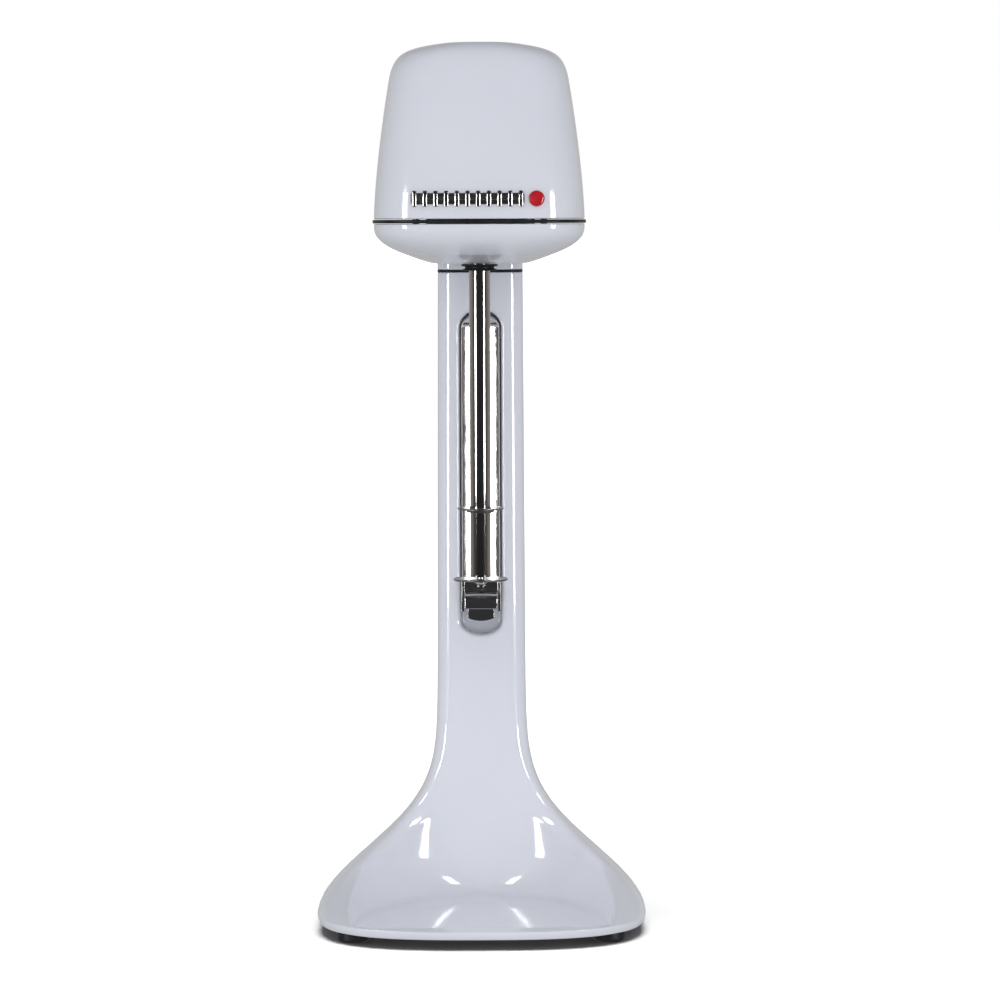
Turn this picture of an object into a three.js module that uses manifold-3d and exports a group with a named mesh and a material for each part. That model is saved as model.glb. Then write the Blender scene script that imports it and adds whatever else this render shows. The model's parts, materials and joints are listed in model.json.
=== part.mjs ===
// Single-spindle drink mixer: a motor head on a column, a long spindle with two agitators,
// a cup guide that starts the motor, and a base with a shallow tray.
// Millimetres, +Z up, front towards -Y.
import * as THREE from 'three';
import { mergeVertices } from 'three/addons/utils/BufferGeometryUtils.js';
import { LoftGeometry } from 'three/addons/geometries/LoftGeometry.js';
import Module from 'manifold-3d';

const wasm = await Module();
wasm.setup();

// ---------------------------------------------------------------- driving dimensions

const GAP = 0.3; // clearance between neighbouring parts
const OUTER_POINTS = 40; // points round each outer shell
const INNER_POINTS = 24; // points round each hollow

// base and column
const BASE_BOTTOM = 5.5;
const RIM_Z = 10; // height where the base is widest
const BASE_HALF_WIDTH = 90;
const BASE_FRONT = - 102;
const BASE_BACK = 102;
const COLUMN_HALF_WIDTH = 24.1; // at the very top
const COLUMN_TAPER = 0.0045; // extra half width for each millimetre downwards
const COLUMN_FRONT = 48;
const COLUMN_BACK = 92;
const COLUMN_TOP = 358.9;
const COLUMN_MIDDLE = 70; // the line where the column is widest
const BASE_MIDDLE = - 22; // the line where the base is widest
const WALL = 3;
const RIM_EXTRA_WALL = 1.5; // the rim of the base is thicker than the rest
const CAVITY_FRONT = 67; // the hollow of the column starts behind the guide slot
const BASE_POWER = 2.8; // squareness of the base; the column and the head use HEAD_POWER
const SIDE_REACH = 38.2; // how far up the sides, front and back of the base spread
const SIDE_EASE = 1.75;
const FRONT_REACH = 20;
const FRONT_EASE = 1.15;
const BACK_REACH = 30;
const BACK_EASE = 1.5;
const RIM_TUCK = 1.6; // the rim draws in by this much at its foot
const FLARE_TOP = 96; // above this height the column is almost straight

// tray
const TRAY_FLOOR = 9.5;
const TRAY_FRONT = - 93;
const TRAY_MIDDLE = - 74;
const TRAY_WALL = 2.5;
const TRAY_OPEN_Z = 12.2; // above this height the scoop is open to the front
const LIP_ROW = [ 71.2, 36.7, 2 ]; // half width, back and squareness at that height
const TRAY_FRONT_POWER = 3.2; // squareness of the tray's front corners

// slot for the cup guide
const SLOT_HALF_WIDTH = 12.15;
const SLOT_BOTTOM = 154.8;
const SLOT_TOP = 338.5;
const SLOT_BACK = 64;
const SLOT_BOTTOM_RISE = 8; // height of the slot's rounded bottom
const SLOT_TOP_RISE = 10;

// head
const HEAD_MIDDLE = 13;
const HEAD_HALF_WIDTH = 57.7; // at the seam
const HEAD_EXTRA_DEPTH = 20.5; // half depth minus half width
const HEAD_POWER = 4.5;
const SEAM_BOTTOM = 386.7;
const SEAM_TOP = 388.7;
const SEAM_PROUD = 0.8;
const HOUSING_FLOOR = 369.7;
const NECK_TOP = 364.5;
const PLATEAU_Z = 364.8; // flat underside of the head, just above the flinger
const PLATEAU_FRONT = - 20;
const HEAD_FLOOR = 373.2; // inside floor of the lower housing
const NECK_BOTTOM = 360.6;
const CROWN_START = 463; // height where the hood starts to round over
const HOOD_TOP = 485;

// spindle line
const SPINDLE_Y = - 4;
const SPINDLE_RADIUS = 5.85;
const SHAFT_RADIUS = 4;
const SPINDLE_BOTTOM = 192;
const SPINDLE_SHOULDER = 371;
const SHAFT_TOP = 469;
const UPPER_AGITATOR_Z = 229.2;
const LOWER_AGITATOR_Z = 190.1;

// cup guide
const GUIDE_HALF_WIDTH = 10.85;
const GUIDE_FRONT = 44.5;
const GUIDE_FLAT = 3; // half width of the flat front
const GUIDE_SLOPE = 0.445; // the faces beside it lean back by this much
const GUIDE_CORNER = 1.4;
const GUIDE_SHEET = 1.2;
const GUIDE_BOTTOM = 172;
const GUIDE_TOP = 336.4;
const GUIDE_REAR = 56.5;
const PIVOT_Y = 55;
const PIVOT_Z = 322;
const PIVOT_RADIUS = 1.5;
const SWITCH_Z = 270;
const REST_SCREW_Z = 182.8;
const TAB_HALF_WIDTH = 7.4;

// motor
const BOLT_CORNER = 27; // the long bolts stand this far out along X and Y
const BOLT_RADIUS = 2;

// feet
const FEET = [
	[ 'front_left', - 69, - 68 ],
	[ 'front_right', 69, - 68 ],
	[ 'rear_left', - 56, 72 ],
	[ 'rear_right', 56, 72 ],
];
const PLATE_SCREW_X = 33;
const PLATE_SCREW_Y = 84;
const PLATE_TOP = 6.7;

// cord inlet
const GLAND_Z = 22;
const GLAND_FACE = 100.6;
const GLAND_RADIUS = 8.4;
const GLAND_NECK_RADIUS = 5.7;

// screws that join the column, the head and the hood
const HOOD_SCREW_X = 36;
const HOOD_SCREW_Y = 58;
const HOOD_SCREW_HOLE = 2.3;
const HOOD_SCREW_SEAT = 4.2;
const NECK_BOLT_X = 17.3;
const NECK_BOLT_Y = 57;
const NECK_BOLT_HOLE = 2.9;
const WIRE_WAY = [ 70, 86 ]; // opening in the neck for the wires, from front to back
const SPINDLE_OPENING = 8.2; // radius of the hole in the head's underside

// ---------------------------------------------------------------- materials

function paint( color, roughness, metalness ) {

	return new THREE.MeshStandardMaterial( { color, roughness, metalness } );

}

const whiteEnamel = () => paint( 0xdfe0e6, 0.22, 0 );
const polishedSteel = () => paint( 0xc9ccd0, 0.14, 1 );
const chrome = () => paint( 0xd6d9dd, 0.08, 1 );
const zincSteel = () => paint( 0x9da1a6, 0.38, 1 );
const blackRubber = () => paint( 0x17181b, 0.7, 0 );
const darkPlastic = () => paint( 0x1f2124, 0.45, 0 );
const copper = () => paint( 0xb06a3b, 0.4, 1 );
const lamination = () => paint( 0x6c6f73, 0.5, 1 );
const castAluminium = () => paint( 0xa9acaf, 0.5, 1 );
const redEnamel = () => paint( 0xc01824, 0.2, 0 );
const carbon = () => paint( 0x2a2a2c, 0.8, 0 );
const palePlastic = () => paint( 0xe3dfd2, 0.5, 0 );

// ---------------------------------------------------------------- solids from three.js shapes

// A closed three.js geometry as a manifold solid.
function solid( geometry ) {

	const bare = new THREE.BufferGeometry();
	bare.setAttribute( 'position', geometry.attributes.position );
	bare.setIndex( geometry.index );
	const merged = mergeVertices( bare, 1e-4 );
	return new wasm.Manifold( new wasm.Mesh( {
		numProp: 3,
		vertProperties: merged.attributes.position.array,
		triVerts: Uint32Array.from( merged.index.array ),
	} ) );

}

// The manifold solid back as a three.js geometry.
function geometryOf( body ) {

	const result = body.getMesh();
	const geometry = new THREE.BufferGeometry();
	geometry.setAttribute( 'position', new THREE.BufferAttribute( result.vertProperties, 3 ) );
	geometry.setIndex( new THREE.BufferAttribute( result.triVerts, 1 ) );
	geometry.computeVertexNormals();
	return geometry;

}

function joined( ...bodies ) {

	return bodies.reduce( ( sum, body ) => sum.add( body ) );

}

function without( body, ...tools ) {

	return tools.reduce( ( rest, tool ) => rest.subtract( tool ), body );

}

// Cuboid from its limits along X, Y and Z.
function block( x, y, z ) {

	const geometry = new THREE.BoxGeometry( x[ 1 ] - x[ 0 ], y[ 1 ] - y[ 0 ], z[ 1 ] - z[ 0 ] );
	geometry.translate( ( x[ 0 ] + x[ 1 ] ) / 2, ( y[ 0 ] + y[ 1 ] ) / 2, ( z[ 0 ] + z[ 1 ] ) / 2 );
	return solid( geometry );

}

// Round bar along Z at a given place.
function post( radius, z, x = 0, y = 0, segments = 12 ) {

	const geometry = new THREE.CylinderGeometry( radius, radius, z[ 1 ] - z[ 0 ], segments );
	geometry.rotateX( Math.PI / 2 );
	geometry.translate( x, y, ( z[ 0 ] + z[ 1 ] ) / 2 );
	return solid( geometry );

}

// Round bar along Y.
function rod( radius, y, x, z, segments = 14 ) {

	const geometry = new THREE.CylinderGeometry( radius, radius, y[ 1 ] - y[ 0 ], segments );
	geometry.translate( x, ( y[ 0 ] + y[ 1 ] ) / 2, z );
	return solid( geometry );

}

// Round bar along X.
function crossRod( radius, x, y, z, segments = 12 ) {

	const geometry = new THREE.CylinderGeometry( radius, radius, x[ 1 ] - x[ 0 ], segments );
	geometry.rotateZ( Math.PI / 2 );
	geometry.translate( ( x[ 0 ] + x[ 1 ] ) / 2, y, z );
	return solid( geometry );

}

// Turned part about the Z axis: [ radius, z ] points, on the axis at both ends or closed.
function turned( points, segments = 24 ) {

	const profile = points.map( ( [ r, z ] ) => new THREE.Vector2( r, z ) );
	const geometry = new THREE.LatheGeometry( profile, segments );
	geometry.rotateX( Math.PI / 2 );
	return solid( geometry );

}

// Ring about the Z axis with a rectangular section.
function ring( inner, outer, z, segments = 20 ) {

	return turned( [
		[ inner, z[ 0 ] ],
		[ outer, z[ 0 ] ],
		[ outer, z[ 1 ] ],
		[ inner, z[ 1 ] ],
		[ inner, z[ 0 ] ],
	], segments );

}

// Shape drawn in X and Z, given thickness along Y.
function frontPlate( shape, y, curveSegments = 12 ) {

	const geometry = new THREE.ExtrudeGeometry( shape, {
		depth: y[ 1 ] - y[ 0 ],
		bevelEnabled: false,
		curveSegments,
	} );
	geometry.rotateX( Math.PI / 2 );
	geometry.translate( 0, y[ 1 ], 0 );
	return solid( geometry );

}

// Shape drawn in Y and Z, given thickness along X.
function sidePlate( shape, x, curveSegments = 12 ) {

	const geometry = new THREE.ExtrudeGeometry( shape, {
		depth: x[ 1 ] - x[ 0 ],
		bevelEnabled: false,
		curveSegments,
	} );
	geometry.applyMatrix4( new THREE.Matrix4().set(
		0, 0, 1, x[ 0 ],
		1, 0, 0, 0,
		0, 1, 0, 0,
		0, 0, 0, 1
	) );
	return solid( geometry );

}

// Shape drawn in X and Y, given thickness along Z.
function flatPlate( shape, z, curveSegments = 12 ) {

	const geometry = new THREE.ExtrudeGeometry( shape, {
		depth: z[ 1 ] - z[ 0 ],
		bevelEnabled: false,
		curveSegments,
	} );
	geometry.translate( 0, 0, z[ 0 ] );
	return solid( geometry );

}

// ---------------------------------------------------------------- outlines and lofts

// Rounded outline at one height. It reaches from front to back, is widest at middle,
// and its corners get squarer as the power grows.
function outline( { z, halfWidth, front, middle, back, power, frontPower = power }, count ) {

	const points = [];
	for ( let i = 0; i < count; i ++ ) {

		const angle = 2 * Math.PI * i / count;
		const across = Math.cos( angle );
		const along = Math.sin( angle );
		const bend = 2 / ( along < 0 ? frontPower : power );
		const reach = along < 0 ? middle - front : back - middle;
		points.push( new THREE.Vector3(
			halfWidth * Math.sign( across ) * Math.abs( across ) ** bend,
			middle + reach * Math.sign( along ) * Math.abs( along ) ** bend,
			z
		) );

	}

	return points;

}

function loft( sections, count ) {

	const rings = sections.map( ( section ) => outline( section, count ) );
	return solid( new LoftGeometry( rings, { capStart: true, capEnd: true } ) );

}

// The same outline drawn smaller by a distance all round.
function inset( section, distance ) {

	return {
		...section,
		halfWidth: section.halfWidth - distance,
		front: section.front + distance,
		back: section.back - distance,
	};

}

function mix( a, b, t ) {

	return a + ( b - a ) * t;

}

// Heights from one level to another, closer together at the start when ease is above 1.
function levels( from, to, count, ease = 1 ) {

	return Array.from( { length: count + 1 }, ( _, i ) => mix( from, to, ( i / count ) ** ease ) );

}

// ---------------------------------------------------------------- column and base

// 1 at the rim of the base, falling smoothly to 0 up the column.
function sweep( z, reach, power ) {

	return Math.exp( - ( Math.max( 0, ( z - RIM_Z ) / reach ) ** power ) );

}

const columnHalfWidth = ( z ) => COLUMN_HALF_WIDTH + COLUMN_TAPER * ( COLUMN_TOP - z );

// Outline of the casting at one height.
function castingSection( z ) {

	const flare = sweep( z, SIDE_REACH, SIDE_EASE );
	const tuck = RIM_TUCK * Math.max( 0, ( RIM_Z - z ) / ( RIM_Z - BASE_BOTTOM ) ) ** 2;
	const column = columnHalfWidth( z );
	return inset( {
		z,
		halfWidth: column + ( BASE_HALF_WIDTH - column ) * flare,
		front: mix( COLUMN_FRONT, BASE_FRONT, sweep( z, FRONT_REACH, FRONT_EASE ) ),
		middle: mix( COLUMN_MIDDLE, BASE_MIDDLE, flare ** 1.2 ),
		back: mix( COLUMN_BACK, BASE_BACK, sweep( z, BACK_REACH, BACK_EASE ) ),
		power: mix( HEAD_POWER, BASE_POWER, flare ),
	}, tuck );

}

// Outline of the hollow inside the casting at one height.
function cavitySection( z ) {

	const shell = castingSection( Math.max( z, RIM_Z ) );
	const front = mix( CAVITY_FRONT, BASE_FRONT + 2 * WALL, sweep( z, FRONT_REACH, FRONT_EASE ) );
	return {
		...inset( shell, WALL + RIM_EXTRA_WALL * sweep( z, BACK_REACH, 2 ) ),
		z,
		front,
		middle: Math.max( shell.middle, front + 4 ),
	};

}

// Height, half width, back and squareness of the scooped tray, from its floor up to the column.
const SCOOP = [
	[ TRAY_FLOOR, 68, 26, 1.8 ],
	[ 10.1, 69.6, 32, 1.9 ],
	[ 12, 71, 36.5, 2 ],
	[ 15, 73, 39, 2.1 ],
	[ 20, 76, 41, 2.2 ],
	[ 28, 79, 42.7, 2.4 ],
	[ 38, 70, 44.2, 2.8 ],
	[ 50, 57, 45.6, 3.6 ],
	[ 62, 48, 46.8, 4.4 ],
	[ 78, 44, 47.6, 4.6 ],
	[ 100, 44, 48.3, 4.6 ],
];

// The scoop as a solid to cut away, made larger by grow on every side.
function scoop( grow ) {

	const low = SCOOP.filter( ( [ z ] ) => z <= TRAY_OPEN_Z );
	const high = SCOOP.filter( ( [ z ] ) => z > TRAY_OPEN_Z );
	const lipped = [ ...low, [ TRAY_OPEN_Z, ...LIP_ROW ] ];
	const open = [ [ TRAY_OPEN_Z + 0.05, ...LIP_ROW ], ...high ];
	const section = ( [ z, halfWidth, back, power ], front ) => ( {
		z: z === TRAY_FLOOR ? z - grow : z,
		halfWidth: halfWidth + grow,
		front: front - 2 * grow,
		middle: TRAY_MIDDLE,
		back: back + grow,
		power,
		frontPower: TRAY_FRONT_POWER,
	} );
	return loft( [
		...lipped.map( ( row ) => section( row, TRAY_FRONT ) ),
		...open.map( ( row ) => section( row, BASE_FRONT - 60 ) ),
	], 32 );

}

// Tall slot with flattened round ends, drawn in X and Z.
function slotShape() {

	const shape = new THREE.Shape();
	const low = SLOT_BOTTOM + SLOT_BOTTOM_RISE;
	const high = SLOT_TOP - SLOT_TOP_RISE;
	shape.moveTo( - SLOT_HALF_WIDTH, low );
	shape.absellipse( 0, low, SLOT_HALF_WIDTH, SLOT_BOTTOM_RISE, Math.PI, 2 * Math.PI );
	shape.lineTo( SLOT_HALF_WIDTH, high );
	shape.absellipse( 0, high, SLOT_HALF_WIDTH, SLOT_TOP_RISE, 0, Math.PI );
	return shape;

}

function mirrored( make ) {

	return [ make( - 1 ), make( 1 ) ];

}

function columnBase() {

	const heights = [ BASE_BOTTOM, 7.5, ...levels( RIM_Z, FLARE_TOP, 12, 1.35 ), 150, COLUMN_TOP ];
	const shell = loft( heights.map( castingSection ), OUTER_POINTS );
	const hollowHeights = [ BASE_BOTTOM - 1, ...levels( RIM_Z, FLARE_TOP, 7, 1.2 ), COLUMN_TOP + 1 ];
	const hollow = without( loft( hollowHeights.map( cavitySection ), INNER_POINTS ), scoop( TRAY_WALL ) );
	const boltHoles = mirrored( ( side ) =>
		post( NECK_BOLT_HOLE, [ 342, COLUMN_TOP + 1 ], side * NECK_BOLT_X, NECK_BOLT_Y ) );
	const screwBosses = mirrored( ( side ) => without(
		post( 5, [ PLATE_TOP + GAP, 80 ], side * PLATE_SCREW_X, PLATE_SCREW_Y ),
		post( 1.9, [ PLATE_TOP, 19 ], side * PLATE_SCREW_X, PLATE_SCREW_Y, 12 ),
	) );
	return without(
		shell,
		without( hollow, ...screwBosses ),
		scoop( 0 ),
		frontPlate( slotShape(), [ COLUMN_FRONT - 8, SLOT_BACK ] ),
		crossRod( PIVOT_RADIUS + GAP, [ - 15.2, 15.2 ], PIVOT_Y, PIVOT_Z ),
		rod( 2.5, [ SLOT_BACK - 1, CAVITY_FRONT + 1 ], 0, SWITCH_Z ),
		rod( GLAND_NECK_RADIUS + 0.4, [ 88, BASE_BACK + 2 ], 0, GLAND_Z ),
		rod( GLAND_RADIUS + GAP, [ GLAND_FACE - 1.9, BASE_BACK + 2 ], 0, GLAND_Z, 20 ),
		...boltHoles,
	);

}

function basePlate() {

	const section = inset( castingSection( RIM_Z ), WALL + RIM_EXTRA_WALL + 0.6 );
	const points = outline( { ...section, front: BASE_FRONT + 2 * WALL + 0.6 }, INNER_POINTS );
	const plate = flatPlate( new THREE.Shape( points ), [ BASE_BOTTOM, PLATE_TOP ] );
	const footHoles = FEET.map( ( [ , x, y ] ) => post( 2, [ 0, 10 ], x, y ) );
	const screwHoles = mirrored( ( side ) => post( 2.2, [ 0, 10 ], side * PLATE_SCREW_X, PLATE_SCREW_Y ) );
	return without( plate, ...footHoles, ...screwHoles );

}

// Rubber foot with a pocket below for its screw.
function foot() {

	return turned( [
		[ 2.2, 2.6 ], [ 4.2, 2.6 ], [ 4.2, 0 ], [ 7.6, 0 ], [ 9, 1.2 ], [ 8.6, 5.2 ], [ 2.2, 5.2 ], [ 2.2, 2.6 ],
	], 18 );

}

// Pan-head screw standing head down, its head resting at headZ.
function screwUp( headRadius, headHeight, shankRadius, headZ, topZ ) {

	return turned( [
		[ 0, headZ - headHeight ],
		[ headRadius * 0.7, headZ - headHeight ],
		[ headRadius, headZ - headHeight * 0.5 ],
		[ headRadius, headZ ],
		[ shankRadius, headZ ],
		[ shankRadius, topZ ],
		[ 0, topZ ],
	], 10 );

}

// The gland sits in a shallow round seat in the back of the base.
function cordGland() {

	const body = turned( [
		[ 3.6, 0 ],
		[ GLAND_RADIUS, 0 ],
		[ GLAND_RADIUS, 1.3 ],
		[ GLAND_NECK_RADIUS, 1.6 ],
		[ GLAND_NECK_RADIUS, 9 ],
		[ 3.6, 9 ],
		[ 3.6, 0 ],
	], 18 );
	return body.rotate( [ 90, 0, 0 ] ).translate( [ 0, GLAND_FACE, GLAND_Z ] );

}

// ---------------------------------------------------------------- head

// Outline of the hood at one height; its shoulders round over into a gently arched crown.
function hoodSection( z ) {

	const rise = ( z - SEAM_TOP ) / ( HOOD_TOP - SEAM_TOP );
	const taper = 12 * rise ** 1.49;
	const crown = Math.max( 0, ( z - CROWN_START ) / ( HOOD_TOP - CROWN_START ) );
	const shoulder = 10 * crown ** 2.9 + 20 * crown ** 9.1;
	const halfWidth = HEAD_HALF_WIDTH - taper - shoulder;
	return {
		z,
		halfWidth,
		front: HEAD_MIDDLE - halfWidth - HEAD_EXTRA_DEPTH - shoulder * 0.6,
		middle: HEAD_MIDDLE,
		back: HEAD_MIDDLE + halfWidth + HEAD_EXTRA_DEPTH + shoulder * 0.6,
		power: mix( HEAD_POWER, 2.7, Math.min( 1, shoulder / 26 ) ** 0.8 ),
	};

}

// Outline of the bowl under the seam at one height.
function bowlSection( z ) {

	const drop = ( SEAM_BOTTOM - z ) / ( SEAM_BOTTOM - HOUSING_FLOOR );
	const halfWidth = HEAD_HALF_WIDTH - 17.5 * Math.max( 0, drop ) ** 2.6;
	return {
		z,
		halfWidth,
		front: HEAD_MIDDLE - halfWidth - HEAD_EXTRA_DEPTH,
		middle: HEAD_MIDDLE,
		back: HEAD_MIDDLE + HEAD_HALF_WIDTH + HEAD_EXTRA_DEPTH,
		power: HEAD_POWER,
	};

}

const neckSection = ( z ) => ( { ...castingSection( COLUMN_TOP ), z } );

function lowerHousing() {

	const rimZ = SEAM_BOTTOM - GAP;
	const bowlHeights = levels( HOUSING_FLOOR, rimZ, 6, 1.6 );
	const neck = neckSection( NECK_TOP );
	const plateau = { ...neck, z: PLATEAU_Z, halfWidth: neck.halfWidth + 2, front: PLATEAU_FRONT, middle: 34 };
	const sections = [ neckSection( NECK_BOTTOM ), neck, plateau, ...bowlHeights.map( bowlSection ) ];
	const shell = loft( sections, OUTER_POINTS );
	const insideHeights = [ ...levels( HEAD_FLOOR, rimZ - 1, 3, 1.3 ), rimZ + 1 ];
	const insideSections = insideHeights.map( ( z ) => inset( bowlSection( z ), WALL ) );
	const inside = loft( insideSections, INNER_POINTS );
	const hoodBosses = mirrored( ( side ) => post( 5.8, [ 371, rimZ ], side * HOOD_SCREW_X, HOOD_SCREW_Y ) );
	return without(
		joined( without( shell, inside ), ...hoodBosses.map( ( boss ) => boss.intersect( shell ) ) ),
		post( SPINDLE_OPENING, [ 355, 376 ], 0, SPINDLE_Y, 20 ),
		block( [ - 10, 10 ], WIRE_WAY, [ 355, 380 ] ),
		...mirrored( ( side ) => post( NECK_BOLT_HOLE, [ 355, 380 ], side * NECK_BOLT_X, NECK_BOLT_Y ) ),
		...mirrored( ( side ) => post( HOOD_SCREW_HOLE, [ 360, 390 ], side * HOOD_SCREW_X, HOOD_SCREW_Y ) ),
		...mirrored( ( side ) => post( HOOD_SCREW_SEAT, [ 360, 377 ], side * HOOD_SCREW_X, HOOD_SCREW_Y ) ),
	);

}

function seamGasket() {

	const outer = inset( bowlSection( SEAM_BOTTOM ), - SEAM_PROUD );
	const inner = inset( outer, 5 );
	const shape = new THREE.Shape( outline( outer, OUTER_POINTS ) );
	shape.holes.push( new THREE.Path( outline( inner, INNER_POINTS ) ) );
	return flatPlate( shape, [ SEAM_BOTTOM, SEAM_TOP ] );

}

function neckGasket() {

	const outer = inset( neckSection( COLUMN_TOP ), 0.1 );
	const plate = flatPlate( new THREE.Shape( outline( outer, 32 ) ), [ COLUMN_TOP + GAP, NECK_BOTTOM - GAP ] );
	return without(
		plate,
		block( [ - 10.5, 10.5 ], [ WIRE_WAY[ 0 ] - 0.5, WIRE_WAY[ 1 ] + 0.5 ], [ 350, 370 ] ),
		...mirrored( ( side ) => post( NECK_BOLT_HOLE, [ 350, 370 ], side * NECK_BOLT_X, NECK_BOLT_Y ) ),
	);

}

const ROCKER_Z = 418;
const ROCKER_TILT = 5; // degrees, the rear wall of the hood leans by as much
const ROCKER_WALL_Y = HEAD_MIDDLE + HEAD_HALF_WIDTH + HEAD_EXTRA_DEPTH - 2.1;

function hood() {

	const bottom = SEAM_TOP + GAP;
	const crown = levels( CROWN_START, HOOD_TOP, 8, 0.6 );
	const shell = loft( [ ...levels( bottom, 448, 3 ), ...crown ].map( hoodSection ), OUTER_POINTS );
	const insideHeights = [ bottom - 1, ...levels( bottom, 460, 2 ), ...levels( 468, HOOD_TOP - 4, 3, 0.7 ) ];
	const inside = loft( insideHeights.map( ( z ) => ( {
		...inset( hoodSection( Math.max( bottom, z ) + ( z > 460 ? 3 : 0 ) ), WALL ),
		z,
	} ) ), INNER_POINTS );
	const bosses = mirrored( ( side ) => joined(
		post( 5.5, [ bottom, 412 ], side * HOOD_SCREW_X, HOOD_SCREW_Y ),
		block( [ 0, 20 ], [ - 1.5, 1.5 ], [ bottom, 412 ] )
			.rotate( [ 0, 0, side < 0 ? 180 : 0 ] )
			.translate( [ side * HOOD_SCREW_X, HOOD_SCREW_Y, 0 ] ),
	) );
	const held = joined( without( shell, inside ), ...bosses.map( ( boss ) => boss.intersect( shell ) ) );
	const switchHole = block( [ - 7.3, 7.3 ], [ - 12, 12 ], [ - 10.3, 10.3 ] );
	return without(
		held,
		...mirrored( ( side ) => post( HOOD_SCREW_HOLE, [ 380, 404 ], side * HOOD_SCREW_X, HOOD_SCREW_Y ) ),
		switchHole.rotate( [ ROCKER_TILT, 0, 0 ] ).translate( [ 0, ROCKER_WALL_Y, ROCKER_Z ] ),
	);

}

// A layer that follows the hood's surface, between two distances from it, kept inside a window.
function hoodLayer( near, far, window ) {

	const heights = levels( 392, 408, 2 );
	const outer = loft( heights.map( ( z ) => inset( hoodSection( z ), - far ) ), OUTER_POINTS );
	const innerHeights = [ 391, ...heights, 409 ];
	const inner = loft( innerHeights.map( ( z ) => inset( hoodSection( z ), - near ) ), OUTER_POINTS );
	return without( outer.intersect( window ), inner );

}

const BADGE_Z = 399.9;

function badgeBacking() {

	return hoodLayer( GAP, 1.1, block( [ - 36.5, 24.5 ], [ - 80, - 40 ], [ BADGE_Z - 3, BADGE_Z + 3 ] ) );

}

// A plain row of upright ribs on one spine.
function badgeRibs() {

	const ribs = [ block( [ - 36, 24 ], [ - 80, - 40 ], [ BADGE_Z - 0.7, BADGE_Z + 0.7 ] ) ];
	const count = 11;
	for ( let i = 0; i < count; i ++ ) {

		const x = mix( - 34.6, 22.6, i / ( count - 1 ) );
		ribs.push( block( [ x - 1.3, x + 1.3 ], [ - 80, - 40 ], [ BADGE_Z - 4.4, BADGE_Z + 4.4 ] ) );

	}

	return hoodLayer( 1.4, 2.6, joined( ...ribs ) );

}

function badgeAccent() {

	return hoodLayer( GAP, 2.3, rod( 4.3, [ - 80, - 40 ], 31, BADGE_Z, 28 ) );

}

// ---------------------------------------------------------------- speed switch

function speedSwitchBody() {

	const flange = block( [ - 9, 9 ], [ 0.9, 2.4 ], [ - 12, 12 ] );
	const tub = block( [ - 6.9, 6.9 ], [ - 13, 2 ], [ - 9.9, 9.9 ] );
	const mouth = block( [ - 5.7, 5.7 ], [ - 8, 6 ], [ - 8.7, 8.7 ] );
	return without( joined( flange, tub ), mouth );

}

// Rocker whose two faces meet in a shallow valley; drawn in Y and Z about its hinge.
function speedRocker() {

	const profile = new THREE.Shape();
	profile.moveTo( - 3.4, - 1.8 );
	profile.lineTo( 0.4, - 7.9 );
	profile.lineTo( 4.4, - 7.9 );
	profile.quadraticCurveTo( 2.6, 0, 4.4, 7.9 );
	profile.lineTo( 0.4, 7.9 );
	profile.lineTo( - 3.4, 1.8 );
	profile.closePath();
	return sidePlate( profile, [ - 5.3, 5.3 ] );

}

// ---------------------------------------------------------------- motor, on its own axis

function lowerBracket() {

	const spider = joined(
		ring( 11.3, 16, [ 374.2, 382 ], 18 ),
		block( [ - 36, 36 ], [ - 5, 5 ], [ 374.2, 378 ] ).rotate( [ 0, 0, 45 ] ),
		block( [ - 5, 5 ], [ - 36, 36 ], [ 374.2, 378 ] ).rotate( [ 0, 0, 45 ] ),
		...boltPlaces( ( x, y ) => post( 5.4, [ 374.2, 378 ], x, y, 10 ) ),
	);
	return without( spider, post( 11.3, [ 370, 390 ], 0, 0, 18 ), ...boltHoles( [ 370, 390 ] ) );

}

function upperBracket() {

	const spider = joined(
		ring( 10.3, 14, [ 457, 466 ], 18 ),
		block( [ - 36, 36 ], [ - 4.5, 4.5 ], [ 462.5, 466 ] ).rotate( [ 0, 0, 45 ] ),
		block( [ - 4.5, 4.5 ], [ - 36, 36 ], [ 462.5, 466 ] ).rotate( [ 0, 0, 45 ] ),
		...boltPlaces( ( x, y ) => post( 5, [ 437.6, 466 ], x, y, 10 ) ),
	);
	return without( spider, post( 10.3, [ 450, 470 ], 0, 0, 18 ), ...boltHoles( [ 430, 470 ] ) );

}

// Runs make( x, y ) at the four corners where the long motor bolts stand.
function boltPlaces( make ) {

	const c = BOLT_CORNER;
	return [ [ c, c ], [ - c, c ], [ - c, - c ], [ c, - c ] ].map( ( [ x, y ] ) => make( x, y ) );

}

function boltHoles( z ) {

	return boltPlaces( ( x, y ) => post( BOLT_RADIUS + 0.4, z, x, y, 8 ) );

}

function statorCore() {

	const edge = { z: 0, halfWidth: 36, front: - 36, middle: 0, back: 36, power: 5 };
	const shape = new THREE.Shape( outline( edge, 32 ) );
	const bore = new THREE.Path();
	bore.absarc( 0, 0, 22.2, 0, 2 * Math.PI, true );
	shape.holes.push( bore );
	const stack = flatPlate( shape, [ 400, 437 ], 16 );
	return without( stack, ...boltHoles( [ 390, 445 ] ) );

}

// Rounded ring of field wire that stands off one end of the stator.
function fieldWinding( z ) {

	const middle = ( z[ 0 ] + z[ 1 ] ) / 2;
	const half = ( z[ 1 ] - z[ 0 ] ) / 2;
	return turned( [
		[ 23, z[ 0 ] ], [ 30, z[ 0 ] ], [ 32.5, middle - half * 0.4 ], [ 32.5, middle + half * 0.4 ],
		[ 30, z[ 1 ] ], [ 23, z[ 1 ] ], [ 23, z[ 0 ] ],
	], 24 );

}

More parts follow.
